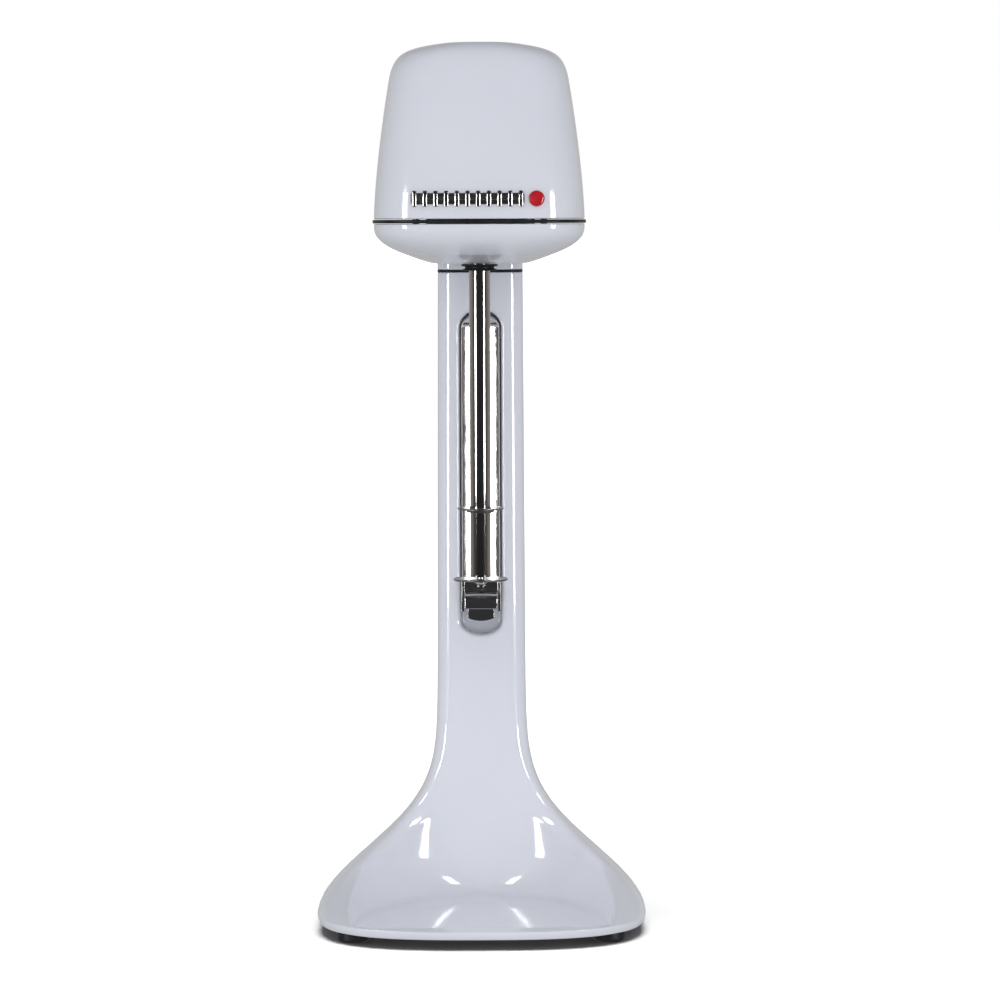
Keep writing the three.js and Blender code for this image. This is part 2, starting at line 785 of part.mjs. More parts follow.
function armature() {

	const core = turned( [
		[ 4.3, 396 ], [ 12, 394.5 ], [ 17, 397.5 ], [ 18, 400.5 ], [ 21.6, 400.5 ], [ 21.6, 436.5 ],
		[ 18, 436.5 ], [ 17, 440 ], [ 12, 442.5 ], [ 4.3, 441 ], [ 4.3, 396 ],
	], 20 );
	const slots = [];
	const count = 12;
	for ( let i = 0; i < count; i ++ ) {

		const slot = block( [ - 0.9, 0.9 ], [ 18.6, 24 ], [ 398, 439 ] );
		slots.push( slot.rotate( [ 0, 0, 360 * ( i + 0.5 ) / count ] ) );

	}

	return without( core, ...slots );

}

function coolingFan() {

	const blades = [ ring( 4.3, 9, [ 383.5, 391.5 ], 24 ), ring( 4.3, 31, [ 383.5, 384.9 ], 20 ) ];
	const count = 7;
	for ( let i = 0; i < count; i ++ ) {

		const blade = block( [ - 0.7, 0.7 ], [ 8, 30.4 ], [ 384.2, 391 ] ).rotate( [ 0, 0, 12 ] );
		blades.push( blade.rotate( [ 0, 0, 360 * i / count ] ) );

	}

	return joined( ...blades );

}

function brushHolder( side ) {

	const sleeve = without(
		block( [ 12.8, 31 ], [ - 4.6, 4.6 ], [ 445.5, 454.5 ] ),
		block( [ 10, 28.5 ], [ - 2.9, 2.9 ], [ 447.2, 452.8 ] ),
	);
	return side < 0 ? sleeve.rotate( [ 0, 0, 180 ] ) : sleeve;

}

function carbonBrush( side ) {

	const brush = block( [ 11.2, 22 ], [ - 2.5, 2.5 ], [ 447.6, 452.4 ] );
	return side < 0 ? brush.rotate( [ 0, 0, 180 ] ) : brush;

}

// ---------------------------------------------------------------- spindle line, on its own axis

function spindle() {

	const body = turned( [
		[ 0, SPINDLE_BOTTOM ],
		[ SPINDLE_RADIUS - 0.4, SPINDLE_BOTTOM ],
		[ SPINDLE_RADIUS, SPINDLE_BOTTOM + 0.4 ],
		[ SPINDLE_RADIUS, SPINDLE_SHOULDER ],
		[ SHAFT_RADIUS, SPINDLE_SHOULDER + 1 ],
		[ SHAFT_RADIUS, SHAFT_TOP - 0.5 ],
		[ SHAFT_RADIUS - 0.5, SHAFT_TOP ],
		[ 0, SHAFT_TOP ],
	], 24 );
	return without( body, post( 2.3, [ SPINDLE_BOTTOM - 1, SPINDLE_BOTTOM + 14 ], 0, 0, 12 ) );

}

function flinger() {

	return turned( [
		[ 6.15, 360.8 ], [ 9.2, 360.8 ], [ 9.6, 361.2 ], [ 9.2, 361.6 ], [ 8, 361.9 ], [ 8, 362.9 ],
		[ 9.9, 363.2 ], [ 10.2, 363.8 ], [ 9.6, 364.3 ], [ 6.15, 364.3 ], [ 6.15, 360.8 ],
	], 20 );

}

// Thin disc whose rim waves gently up and down.
function agitatorDisc( hub, radius, z, sheet, wave, waves ) {

	const section = [
		[ hub, z ], [ radius * 0.55, z ], [ radius * 0.8, z ], [ radius, z ],
		[ radius, z + sheet ], [ radius * 0.8, z + sheet ], [ radius * 0.55, z + sheet ], [ hub, z + sheet ],
		[ hub, z ],
	];
	const geometry = new THREE.LatheGeometry( section.map( ( [ r, h ] ) => new THREE.Vector2( r, h ) ), 24 );
	geometry.rotateX( Math.PI / 2 );
	const position = geometry.attributes.position;
	for ( let i = 0; i < position.count; i ++ ) {

		const x = position.getX( i );
		const y = position.getY( i );
		const strength = Math.max( 0, Math.hypot( x, y ) / radius - 0.55 ) / 0.45;
		const lift = wave * strength * strength * Math.sin( waves * Math.atan2( y, x ) );
		position.setZ( i, position.getZ( i ) + lift );

	}

	return solid( geometry );

}

function upperAgitator() {

	const z = UPPER_AGITATOR_Z;
	return joined(
		agitatorDisc( SPINDLE_RADIUS + GAP, 12.7, z, 1.1, 0.15, 4 ),
		ring( SPINDLE_RADIUS + GAP, 7.7, [ z - 1.6, z + 0.5 ], 24 ),
	);

}

function lowerAgitator() {

	const z = LOWER_AGITATOR_Z;
	return joined(
		agitatorDisc( 2.3, 15, z, 1.2, 0.55, 3 ),
		ring( 2.3, 4.6, [ z - 0.5, z + 0.6 ], 24 ),
	);

}

function agitatorScrew() {

	return screwUp( 3.6, 1.4, 2, LOWER_AGITATOR_Z - 0.8, SPINDLE_BOTTOM + 12 );

}

// ---------------------------------------------------------------- cup guide

// Channel section in X and Y, at one distance from the outside: a narrow flat front, two sloping
// faces, a rounded corner at each side and two straight flanges.
function channelShape( depth, rear ) {

	const halfWidth = GUIDE_HALF_WIDTH - depth;
	const front = GUIDE_FRONT + depth;
	const cornerX = halfWidth - GUIDE_CORNER;
	const cornerY = front + ( cornerX - GUIDE_FLAT ) * GUIDE_SLOPE;
	const edgeY = cornerY + GUIDE_CORNER * GUIDE_SLOPE;
	const shape = new THREE.Shape();
	shape.moveTo( halfWidth, rear );
	shape.lineTo( - halfWidth, rear );
	shape.lineTo( - halfWidth, edgeY + GUIDE_CORNER );
	shape.quadraticCurveTo( - halfWidth, edgeY, - cornerX, cornerY );
	shape.lineTo( - GUIDE_FLAT, front );
	shape.lineTo( GUIDE_FLAT, front );
	shape.lineTo( cornerX, cornerY );
	shape.quadraticCurveTo( halfWidth, edgeY, halfWidth, edgeY + GUIDE_CORNER );
	shape.closePath();
	return shape;

}

// Arched outline that rounds the top of the guide, in X and Z.
function guideOutline() {

	const shape = new THREE.Shape();
	shape.moveTo( - GUIDE_HALF_WIDTH - 1, GUIDE_BOTTOM );
	shape.lineTo( GUIDE_HALF_WIDTH + 1, GUIDE_BOTTOM );
	shape.lineTo( GUIDE_HALF_WIDTH + 1, GUIDE_TOP - 9 );
	shape.absellipse( 0, GUIDE_TOP - 9, GUIDE_HALF_WIDTH + 1, 9, 0, Math.PI );
	return shape;

}

function cupGuide() {

	const z = [ GUIDE_BOTTOM, GUIDE_TOP ];
	const channel = without(
		flatPlate( channelShape( 0, GUIDE_REAR ), z, 5 ),
		flatPlate( channelShape( GUIDE_SHEET, GUIDE_REAR + 2 ), [ z[ 0 ] - 1, z[ 1 ] + 1 ], 5 ),
	);
	const web = block( [ - GUIDE_HALF_WIDTH + 0.6, GUIDE_HALF_WIDTH - 0.6 ], [ 54.6, 55.8 ], [ 264, 276 ] );
	return without(
		joined( channel.intersect( frontPlate( guideOutline(), [ 30, 70 ] ) ), web ),
		crossRod( PIVOT_RADIUS + GAP, [ - 15, 15 ], PIVOT_Y, PIVOT_Z ),
		rod( 1.7, [ 40, 50 ], 0, REST_SCREW_Z, 12 ),
	);

}

// Bent strip of the cup rest: a shelf that turns down into a lip.
function shelfShape() {

	const shape = new THREE.Shape();
	shape.moveTo( 43.9, 180 );
	shape.lineTo( 32, 180 );
	shape.absarc( 32, 176.4, 3.6, Math.PI / 2, Math.PI, false );
	shape.lineTo( 28.4, 171.2 );
	shape.lineTo( 29.7, 171.2 );
	shape.lineTo( 29.7, 176.4 );
	shape.absarc( 32, 176.4, 2.3, Math.PI, Math.PI / 2, true );
	shape.lineTo( 43.9, 178.7 );
	shape.closePath();
	return shape;

}

// Narrow tab that hangs down from the lip and ends in a shallow curve, in X and Z.
function tabShape() {

	const shape = new THREE.Shape();
	shape.moveTo( - TAB_HALF_WIDTH, 172 );
	shape.lineTo( - TAB_HALF_WIDTH, 165.8 );
	shape.quadraticCurveTo( 0, 162.6, TAB_HALF_WIDTH, 165.8 );
	shape.lineTo( TAB_HALF_WIDTH, 172 );
	shape.closePath();
	return shape;

}

function cupRest() {

	const y = [ 42.4, 43.9 ];
	const frame = without(
		block( [ - 10.9, 10.9 ], [ 40.6, y[ 1 ] ], [ 168.6, 187.4 ] ),
		block( [ - 9.3, 9.3 ], [ 39, y[ 0 ] ], [ 160, 185.6 ] ),
		block( [ - 9.3, 9.3 ], [ 39, 46 ], [ 160, 177 ] ),
	);
	return without(
		joined(
			frame,
			sidePlate( shelfShape(), [ - 9.1, 9.1 ], 6 ),
			frontPlate( tabShape(), [ 28.6, 29.7 ], 8 ),
		),
		rod( 1.7, [ 40, 50 ], 0, REST_SCREW_Z, 12 ),
	);

}

// Domed screw along Y with its head at the front.
function cupRestScrew() {

	const body = turned( [
		[ 0, - 2.2 ], [ 1.3, - 1.9 ], [ 2.1, - 1.2 ], [ 2.4, 0 ], [ 1.4, 0 ], [ 1.4, 6.5 ], [ 0, 6.5 ],
	], 16 );
	return body.rotate( [ - 90, 0, 0 ] ).translate( [ 0, 42.1, REST_SCREW_Z ] );

}

// Torsion spring round the pivot pin, one leg on the slot's back and one inside the guide.
function guideSpring() {

	const coil = 2.9;
	const turns = 5;
	const points = [ new THREE.Vector3( - 4, PIVOT_Y + 8.2, PIVOT_Z - 9 ) ];
	const steps = turns * 8 + 4;
	for ( let i = 0; i <= steps; i ++ ) {

		const angle = 2 * Math.PI * i / 8;
		points.push( new THREE.Vector3(
			mix( - 4, 4, i / steps ),
			PIVOT_Y + coil * Math.cos( angle ),
			PIVOT_Z + coil * Math.sin( angle )
		) );

	}

	points.push( new THREE.Vector3( 4, PIVOT_Y - 7.6, PIVOT_Z - 10 ) );
	const path = new THREE.CatmullRomCurve3( points, false, 'centripetal' );
	const wire = new THREE.Shape();
	wire.absarc( 0, 0, 0.4, 0, 2 * Math.PI, false );
	return solid( new THREE.ExtrudeGeometry( wire, {
		steps: 52,
		curveSegments: 3,
		bevelEnabled: false,
		extrudePath: path,
	} ) );

}

// ---------------------------------------------------------------- microswitch

function microswitch() {

	const body = block( [ - 5, 5 ], [ 70.4, 84.5 ], [ SWITCH_Z - 12, SWITCH_Z + 12 ] );
	return without( body, rod( 2.4, [ 69, 76.4 ], 0, SWITCH_Z ) );

}

function switchPlunger() {

	return rod( 2, [ GUIDE_REAR - 0.4, 73.6 ], 0, SWITCH_Z );

}

// ---------------------------------------------------------------- assembly

const group = new THREE.Group();
group.name = 'drink_mixer';

function add( name, body, material, parent = group ) {

	const mesh = new THREE.Mesh( geometryOf( body ), material );
	mesh.name = name;
	parent.add( mesh );
	return mesh;

}

function spindleGroup() {

	const axis = new THREE.Group();
	axis.name = 'spindle_axis';
	axis.position.set( 0, SPINDLE_Y, 0 );
	group.add( axis );
	return axis;

}

add( 'column_base', columnBase(), whiteEnamel() );
add( 'base_plate', basePlate(), zincSteel() );
FEET.forEach( ( [ place, x, y ] ) => {

	add( `rubber_foot_${ place }`, foot(), blackRubber() ).position.set( x, y, 0 );
	add( `foot_screw_${ place }`, screwUp( 3.6, 1.5, 1.7, 2.3, 6.5 ), zincSteel() ).position.set( x, y, 0 );

} );
mirrored( ( side ) => {

	const name = side < 0 ? 'left' : 'right';
	const plateScrewBody = screwUp( 3.4, 1.5, 1.6, BASE_BOTTOM - GAP, 18 );
	const plateScrew = add( `plate_screw_${ name }`, plateScrewBody, zincSteel() );
	plateScrew.position.set( side * PLATE_SCREW_X, PLATE_SCREW_Y, 0 );
	const neckBolt = add( `neck_bolt_${ name }`, screwUp( 4.4, 4, 2.5, 0, 29 ), zincSteel() );
	neckBolt.rotation.x = Math.PI;
	neckBolt.position.set( side * NECK_BOLT_X, NECK_BOLT_Y, 373.5 );
	const hoodScrew = add( `hood_screw_${ name }`, screwUp( 3.6, 2, 2, 376.7, 402 ), zincSteel() );
	hoodScrew.position.set( side * HOOD_SCREW_X, HOOD_SCREW_Y, 0 );

} );
add( 'cord_gland', cordGland(), blackRubber() );
add( 'terminal_block', block( [ - 14, 14 ], [ 70, 82 ], [ PLATE_TOP + GAP, 18 ] ), palePlastic() );
add( 'neck_gasket', neckGasket(), blackRubber() );
add( 'lower_housing', lowerHousing(), whiteEnamel() );
add( 'seam_gasket', seamGasket(), blackRubber() );
add( 'hood', hood(), whiteEnamel() );
add( 'badge_backing', badgeBacking(), darkPlastic() );
add( 'badge_ribs', badgeRibs(), chrome() );
add( 'badge_accent', badgeAccent(), redEnamel() );
add( 'capacitor', post( 7, [ 373.6, 399 ], 0, 60, 20 ), palePlastic() );

const switchSeat = new THREE.Group();
switchSeat.name = 'switch_seat';
switchSeat.position.set( 0, ROCKER_WALL_Y, ROCKER_Z );
switchSeat.rotation.x = THREE.MathUtils.degToRad( ROCKER_TILT );
group.add( switchSeat );
add( 'speed_switch_body', speedSwitchBody(), darkPlastic(), switchSeat );
add( 'speed_rocker', speedRocker(), darkPlastic(), switchSeat );

const axis = spindleGroup();
add( 'motor_lower_bracket', lowerBracket(), castAluminium(), axis );
add( 'motor_upper_bracket', upperBracket(), castAluminium(), axis );
add( 'lower_bearing', ring( SHAFT_RADIUS + GAP, 11, [ 374.6, 381.4 ] ), polishedSteel(), axis );
add( 'upper_bearing', ring( SHAFT_RADIUS + GAP, 10, [ 457.6, 464.4 ] ), polishedSteel(), axis );
add( 'stator_core', statorCore(), lamination(), axis );
add( 'field_winding_lower', fieldWinding( [ 392.2, 399.7 ] ), copper(), axis );
add( 'field_winding_upper', fieldWinding( [ 437.3, 444.6 ] ), copper(), axis );
add( 'brush_holder_left', brushHolder( - 1 ), darkPlastic(), axis );
add( 'brush_holder_right', brushHolder( 1 ), darkPlastic(), axis );
add( 'carbon_brush_left', carbonBrush( - 1 ), carbon(), axis );
add( 'carbon_brush_right', carbonBrush( 1 ), carbon(), axis );
boltPlaces( ( x, y ) => {

	const place = `${ y < 0 ? 'front' : 'rear' }_${ x < 0 ? 'left' : 'right' }`;
	const bolt = add( `motor_bolt_${ place }`, screwUp( 4, 3, BOLT_RADIUS, 0, 91.6 ), zincSteel(), axis );
	bolt.rotation.x = Math.PI;
	bolt.position.set( x, y, 466.3 );

} );
add( 'armature', armature(), lamination(), axis );
add( 'commutator', ring( SHAFT_RADIUS + GAP, 10.8, [ 444, 456 ] ), copper(), axis );
add( 'cooling_fan', coolingFan(), darkPlastic(), axis );
add( 'spindle', spindle(), polishedSteel(), axis );
add( 'flinger', flinger(), blackRubber(), axis );
add( 'upper_agitator', upperAgitator(), polishedSteel(), axis );
add( 'lower_agitator', lowerAgitator(), polishedSteel(), axis );
add( 'agitator_screw', agitatorScrew(), polishedSteel(), axis );

add( 'cup_guide', cupGuide(), chrome() );
add( 'guide_pivot_pin', crossRod( PIVOT_RADIUS, [ - 14.9, 14.9 ], PIVOT_Y, PIVOT_Z ), polishedSteel() );
add( 'guide_spring', guideSpring(), zincSteel() );
add( 'cup_rest', cupRest(), chrome() );
add( 'cup_rest_screw', cupRestScrew(), polishedSteel() );
add( 'microswitch', microswitch(), darkPlastic() );
add( 'switch_plunger', switchPlunger(), redEnamel() );

export default group;
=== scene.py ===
import json
import math

import bmesh
import bpy
import numpy as np
from mathutils import Matrix, Vector

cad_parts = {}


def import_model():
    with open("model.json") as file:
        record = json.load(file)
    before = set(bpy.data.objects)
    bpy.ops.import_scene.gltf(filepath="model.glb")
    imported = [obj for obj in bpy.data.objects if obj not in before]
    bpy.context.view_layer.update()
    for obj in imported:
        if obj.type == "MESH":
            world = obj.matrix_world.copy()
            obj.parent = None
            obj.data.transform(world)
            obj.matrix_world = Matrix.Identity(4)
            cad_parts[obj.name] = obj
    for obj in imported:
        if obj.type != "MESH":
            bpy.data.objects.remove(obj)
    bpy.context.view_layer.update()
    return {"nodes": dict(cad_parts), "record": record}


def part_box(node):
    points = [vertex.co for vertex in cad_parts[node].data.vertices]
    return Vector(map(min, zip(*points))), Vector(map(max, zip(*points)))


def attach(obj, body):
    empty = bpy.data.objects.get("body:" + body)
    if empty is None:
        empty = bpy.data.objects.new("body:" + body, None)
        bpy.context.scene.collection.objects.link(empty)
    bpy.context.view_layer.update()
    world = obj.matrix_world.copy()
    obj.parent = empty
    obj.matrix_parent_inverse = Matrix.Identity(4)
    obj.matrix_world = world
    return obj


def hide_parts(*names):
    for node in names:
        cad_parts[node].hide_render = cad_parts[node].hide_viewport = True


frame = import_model()
MM = 0.001

# Shapes are worked out in millimetres and turned into metres when a mesh is made.


def span(node):
    """Lowest and highest corner of a CAD node, in millimetres."""
    low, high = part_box(node)
    return np.array(low) / MM, np.array(high) / MM


# ------------------------------------------------------------------ meshes


def make_piece(name, verts, faces, normals=None):
    mesh = bpy.data.meshes.new(name)
    mesh.from_pydata((np.asarray(verts, float) * MM).tolist(), [], [tuple(f) for f in faces])
    mesh.validate()
    mesh.update()
    mesh.shade_smooth()
    if normals is not None and len(normals) == len(mesh.vertices):
        mesh.normals_split_custom_set_from_vertices(np.asarray(normals, float).tolist())
    piece = bpy.data.objects.new(name, mesh)
    bpy.context.scene.collection.objects.link(piece)
    return piece


def finish_piece(piece, body, slot, *nodes, finish=None):
    """Gives a piece its body and the material of its slot or finish, and hides the CAD nodes that it stands
    for.
    """
    piece.data.materials.clear()
    piece.data.materials.append(MATERIAL[finish or slot])
    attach(piece, body)
    if nodes:
        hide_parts(*nodes)
    return piece


def recalculate(piece):
    """Turns every face outwards."""
    bm = bmesh.new()
    bm.from_mesh(piece.data)
    bmesh.ops.recalc_face_normals(bm, faces=bm.faces)
    bm.to_mesh(piece.data)
    bm.free()
    piece.data.shade_smooth()


def closed_piece(name, verts, faces):
    piece = make_piece(name, verts, faces)
    recalculate(piece)
    return piece


def ring_faces(rings, count, closed=False):
    """Quads between rings that follow one another, and from the last to the first if closed."""
    faces = []
    for r in range(rings if closed else rings - 1):
        a, b = r * count, (r + 1) % rings * count
        for i in range(count):
            j = (i + 1) % count
            faces.append((a + i, a + j, b + j, b + i))
    return faces


def capped(rings, ends):
    """Points and faces of a surface through rings of points, with a fan around each of two end points."""
    count = len(rings[0])
    verts = np.concatenate([*rings, ends])
    faces = ring_faces(len(rings), count)
    last = (len(rings) - 1) * count
    for i in range(count):
        j = (i + 1) % count
        faces.append((len(verts) - 2, j, i))
        faces.append((len(verts) - 1, last + i, last + j))
    return verts, faces


def loft(name, rings):
    """Closed surface through rings of points, each with as many points, capped at both ends."""
    return closed_piece(name, *capped(rings, [rings[0].mean(0), rings[-1].mean(0)]))


def band(name, rings):
    """Closed surface through rings of points, the last ring joined to the first."""
    return closed_piece(name, np.concatenate(rings), ring_faces(len(rings), len(rings[0]), closed=True))


def rounded(points, radius, steps=4):
    """A line of 2D points with its inner corners rounded."""
    points = [np.array(p, float) for p in points]
    line = [points[0]]
    for a, b, c in zip(points, points[1:], points[2:]):
        to_a, to_c = a - b, c - b
        cut = min(radius, 0.45 * np.linalg.norm(to_a), 0.45 * np.linalg.norm(to_c))
        start = b + to_a / np.linalg.norm(to_a) * cut
        end = b + to_c / np.linalg.norm(to_c) * cut
        for i in range(steps + 1):
            t = i / steps
            line.append((1 - t) ** 2 * start + 2 * t * (1 - t) * b + t ** 2 * end)
    line.append(points[-1])
    return np.array(line)


def lathe(name, profile, x=0.0, y=0.0, axis="z", count=72, radius=0.25, closed=False):
    """Turned piece from (radius, height) points; its corners are rounded."""
    if closed:
        profile = list(profile) + [profile[0], profile[1]]
        line = rounded(profile, radius)[1:-1]
    else:
        line = rounded(profile, radius)
    angles = 2 * np.pi * np.arange(count) / count
    rings = []
    for r, h in line:
        r = max(r, 1e-3)
        rings.append(np.stack([r * np.cos(angles), r * np.sin(angles), np.full(count, h)], 1))
    if closed:
        verts, faces = np.concatenate(rings), ring_faces(len(rings), count, closed=True)
    else:
        verts, faces = capped(rings, [[0, 0, line[0][1]], [0, 0, line[-1][1]]])
    if axis == "y":
        verts = np.stack([verts[:, 0], verts[:, 2], -verts[:, 1]], 1)
    return closed_piece(name, verts + np.array([x, y, 0.0]), faces)


def apply_modifiers(piece):
    bpy.context.view_layer.update()
    graph = bpy.context.evaluated_depsgraph_get()
    made = bpy.data.meshes.new_from_object(piece.evaluated_get(graph), depsgraph=graph)
    piece.modifiers.clear()
    piece.data = made


def soften(piece, width):
    """Rounds every crisp edge."""
    bevel = piece.modifiers.new("soft edges", "BEVEL")
    bevel.width = width * MM
    bevel.segments = 3
    bevel.limit_method = "ANGLE"
    bevel.angle_limit = math.radians(30)
    bevel.use_clamp_overlap = True
    bevel.harden_normals = True
    apply_modifiers(piece)


def cut_away(piece, bm, place, lean=0.0):
    """Cuts a shape out of a piece. It is drawn about the origin, then leaned and placed."""
    mesh = bpy.data.meshes.new("hole")
    bm.to_mesh(mesh)
    bm.free()
    tool = bpy.data.objects.new("hole", mesh)
    tool.location = Vector(place) * MM
    tool.rotation_euler.x = lean
    bpy.context.scene.collection.objects.link(tool)
    cut = piece.modifiers.new("hole", "BOOLEAN")
    cut.operation = "DIFFERENCE"
    cut.solver = "EXACT"
    cut.object = tool
    apply_modifiers(piece)
    bpy.data.objects.remove(tool)


def cut_round_hole(piece, x, y, radius, low, high):
    """Cuts an upright round hole."""
    bm = bmesh.new()
    bmesh.ops.create_cone(bm, cap_ends=True, segments=64, radius1=radius * MM, radius2=radius * MM,
                          depth=(high - low) * MM)
    cut_away(piece, bm, (x, y, (low + high) / 2))


# ------------------------------------------------------------------ materials

MATERIAL = {}


def new_material(name):
    material = bpy.data.materials.new(name)
    material.use_nodes = True
    nodes = material.node_tree.nodes
    shader = nodes["Principled BSDF"]
    return material, nodes, material.node_tree.links, shader


def object_space(nodes, links, stretch=(1, 1, 1)):
    place = nodes.new("ShaderNodeTexCoord")
    mapping = nodes.new("ShaderNodeMapping")
    mapping.inputs["Scale"].default_value = stretch
    links.new(place.outputs["Object"], mapping.inputs["Vector"])
    return mapping.outputs["Vector"]


def noise(nodes, links, vector, scale, detail=3.0, rough=0.5):
    texture = nodes.new("ShaderNodeTexNoise")
    texture.inputs["Scale"].default_value = scale
    texture.inputs["Detail"].default_value = detail
    texture.inputs["Roughness"].default_value = rough
    links.new(vector, texture.inputs["Vector"])
    return texture.outputs["Fac"]


def spread(nodes, links, value, low, high, start=0.3, end=0.7):
    """Turns a noise into a value between low and high."""
    ramp = nodes.new("ShaderNodeMapRange")
    ramp.inputs["From Min"].default_value = start
    ramp.inputs["From Max"].default_value = end
    ramp.inputs["To Min"].default_value = low
    ramp.inputs["To Max"].default_value = high
    links.new(value, ramp.inputs["Value"])
    return ramp.outputs["Result"]


def blend_colors(nodes, links, value, first, second, start=0.35, end=0.65):
    ramp = nodes.new("ShaderNodeValToRGB")
    ramp.color_ramp.elements[0].position = start
    ramp.color_ramp.elements[0].color = (*first, 1)
    ramp.color_ramp.elements[1].position = end
    ramp.color_ramp.elements[1].color = (*second, 1)
    links.new(value, ramp.inputs["Fac"])
    return ramp.outputs["Color"]


def bump(nodes, links, shader, height, distance):
    node = nodes.new("ShaderNodeBump")
    node.inputs["Strength"].default_value = 1.0
    node.inputs["Distance"].default_value = distance
    links.new(height, node.inputs["Height"])
    links.new(node.outputs["Normal"], shader.inputs["Normal"])


def surface(name, first, second, color_scale, roughness, rough_scale, bump_scale, bump_depth,
            metallic=0.0, stretch=(1, 1, 1), detail=3.0, coat=0.0, coat_roughness=0.03, level=0.5):
    """Material with a slow colour drift, a roughness that varies and a fine relief."""
    material, nodes, links, shader = new_material(name)
    vector = object_space(nodes, links, stretch)
    tint = noise(nodes, links, vector, color_scale, detail)
    links.new(blend_colors(nodes, links, tint, first, second), shader.inputs["Base Color"])
    grain = noise(nodes, links, vector, rough_scale, detail, 0.6)
    links.new(spread(nodes, links, grain, *roughness), shader.inputs["Roughness"])
    relief = noise(nodes, links, vector, bump_scale, 2.0)
    bump(nodes, links, shader, relief, bump_depth)
    shader.inputs["Metallic"].default_value = metallic
    shader.inputs["Coat Weight"].default_value = coat
    shader.inputs["Coat Roughness"].default_value = coat_roughness
    shader.inputs["Specular IOR Level"].default_value = level
    MATERIAL[name] = material


def make_materials():
    surface("white_enamel", (0.700, 0.722, 0.790), (0.735, 0.757, 0.822), 9, (0.06, 0.13), 34, 420, 0.000005,
            coat=0.35, coat_roughness=0.02)
    surface("polished_steel", (0.44, 0.425, 0.415), (0.52, 0.505, 0.49), 60, (0.05, 0.12), 260, 900, 0.000001,
            metallic=1.0, stretch=(1, 1, 0.05))
    # A copy of the steel that is rough like satin steel, with its base colour painted far darker than
    # steel's: painted shade standing in for the dark reflection the discs would otherwise not show.
    surface("satin_steel_shaded_dark", (0.20, 0.195, 0.19), (0.29, 0.285, 0.28), 90, (0.28, 0.42), 300, 900, 0.000008,
            metallic=1.0, stretch=(1, 1, 0.2), detail=5)
    surface("bright_chrome", (0.80, 0.79, 0.77), (0.86, 0.85, 0.84), 20, (0.04, 0.11), 55, 300, 0.000001,
            metallic=1.0)
    surface("zinc_steel", (0.40, 0.41, 0.42), (0.56, 0.57, 0.60), 120, (0.28, 0.48), 240, 900, 0.00002,
            metallic=1.0, detail=6)
    surface("black_rubber", (0.006, 0.0065, 0.010), (0.014, 0.015, 0.020), 160, (0.42, 0.6), 300, 900,
            0.00003, level=0.28)
    surface("dark_plastic", (0.012, 0.013, 0.015), (0.022, 0.023, 0.026), 90, (0.36, 0.5), 500, 1600, 0.00002)
    surface("copper_wire", (0.42, 0.13, 0.04), (0.62, 0.24, 0.09), 300, (0.22, 0.4), 700, 1200, 0.0001,
            metallic=1.0, stretch=(1, 1, 6))
    surface("lamination", (0.16, 0.165, 0.17), (0.27, 0.275, 0.285), 180, (0.4, 0.62), 300, 700, 0.00006,
            metallic=1.0, stretch=(0.2, 0.2, 8))
    surface("cast_aluminium", (0.42, 0.43, 0.44), (0.55, 0.56, 0.57), 130, (0.4, 0.6), 350, 800, 0.00006,
            metallic=1.0, detail=6)
    surface("red_enamel", (0.42, 0.006, 0.012), (0.55, 0.012, 0.022), 120, (0.08, 0.16), 300, 700, 0.00001,
            coat=0.5)
    surface("carbon", (0.010, 0.010, 0.011), (0.035, 0.035, 0.037), 500, (0.55, 0.8), 900, 1500, 0.00004)
    surface("pale_plastic", (0.70, 0.66, 0.55), (0.78, 0.74, 0.64), 70, (0.38, 0.52), 300, 1200, 0.00002)


make_materials()

SLOT_OF = {subpart["node"]: subpart["material_slot"] for subpart in frame["record"]["subparts"]}

for name, node in frame["nodes"].items():
    node.data.materials.clear()
    node.data.materials.append(MATERIAL[SLOT_OF[name]])


# ------------------------------------------------------------------ outlines of the shells

CASTING_LOW, CASTING_HIGH = span("column_base")
RIM_Z = 10.0
COLUMN_TAPER = 0.0045
COLUMN_MIDDLE, BASE_MIDDLE = 70.0, -22.0
HEAD_POWER, BASE_POWER = 4.5, 2.8
SIDE_SWEEP, FRONT_SWEEP, BACK_SWEEP = (38.2, 1.75), (20, 1.15), (30, 1.5)  # reach and ease of each
RIM_TUCK = 1.6
HALF_WIDTH = CASTING_HIGH[0]
BASE_FRONT, BASE_BACK = CASTING_LOW[1], CASTING_HIGH[1]
BASE_BOTTOM, COLUMN_TOP = CASTING_LOW[2], CASTING_HIGH[2]
COLUMN_FRONT, COLUMN_BACK = span("neck_gasket")[0][1] - 0.1, span("neck_gasket")[1][1] + 0.1
COLUMN_HALF = span("neck_gasket")[1][0] + 0.1
GASKET_LOW, GASKET_HIGH = span("seam_gasket")
HEAD_HALF = GASKET_HIGH[0] - 0.8
HEAD_MIDDLE = (GASKET_LOW[1] + GASKET_HIGH[1]) / 2
HEAD_DEEP = (GASKET_HIGH[1] - GASKET_LOW[1]) / 2 - 0.8 - HEAD_HALF
HOOD_LOW, HOOD_HIGH = span("hood")
SPINDLE_Y = sum(c[1] for c in span("spindle")) / 2


def ease(low, high, value):
    t = np.clip((value - low) / (high - low), 0, 1)
    return t * t * (3 - 2 * t)


def mix(a, b, t):
    return a + (b - a) * t


def sweep(z, reach, power):
    return np.exp(-(np.maximum(0, (z - RIM_Z) / reach) ** power))


def gauge(x, y, half, front, middle, back, power, front_power=None):
    """0 on the outline, below 0 inside it."""
    front_power = power if front_power is None else front_power
    ahead = y < middle
    reach = np.where(ahead, (middle - y) / (middle - front), (y - middle) / (back - middle))
    p = np.where(ahead, front_power, power)
    u = np.abs(x) / half
    return (u ** p + np.abs(reach) ** p + 1e-12) ** (1 / p) - 1


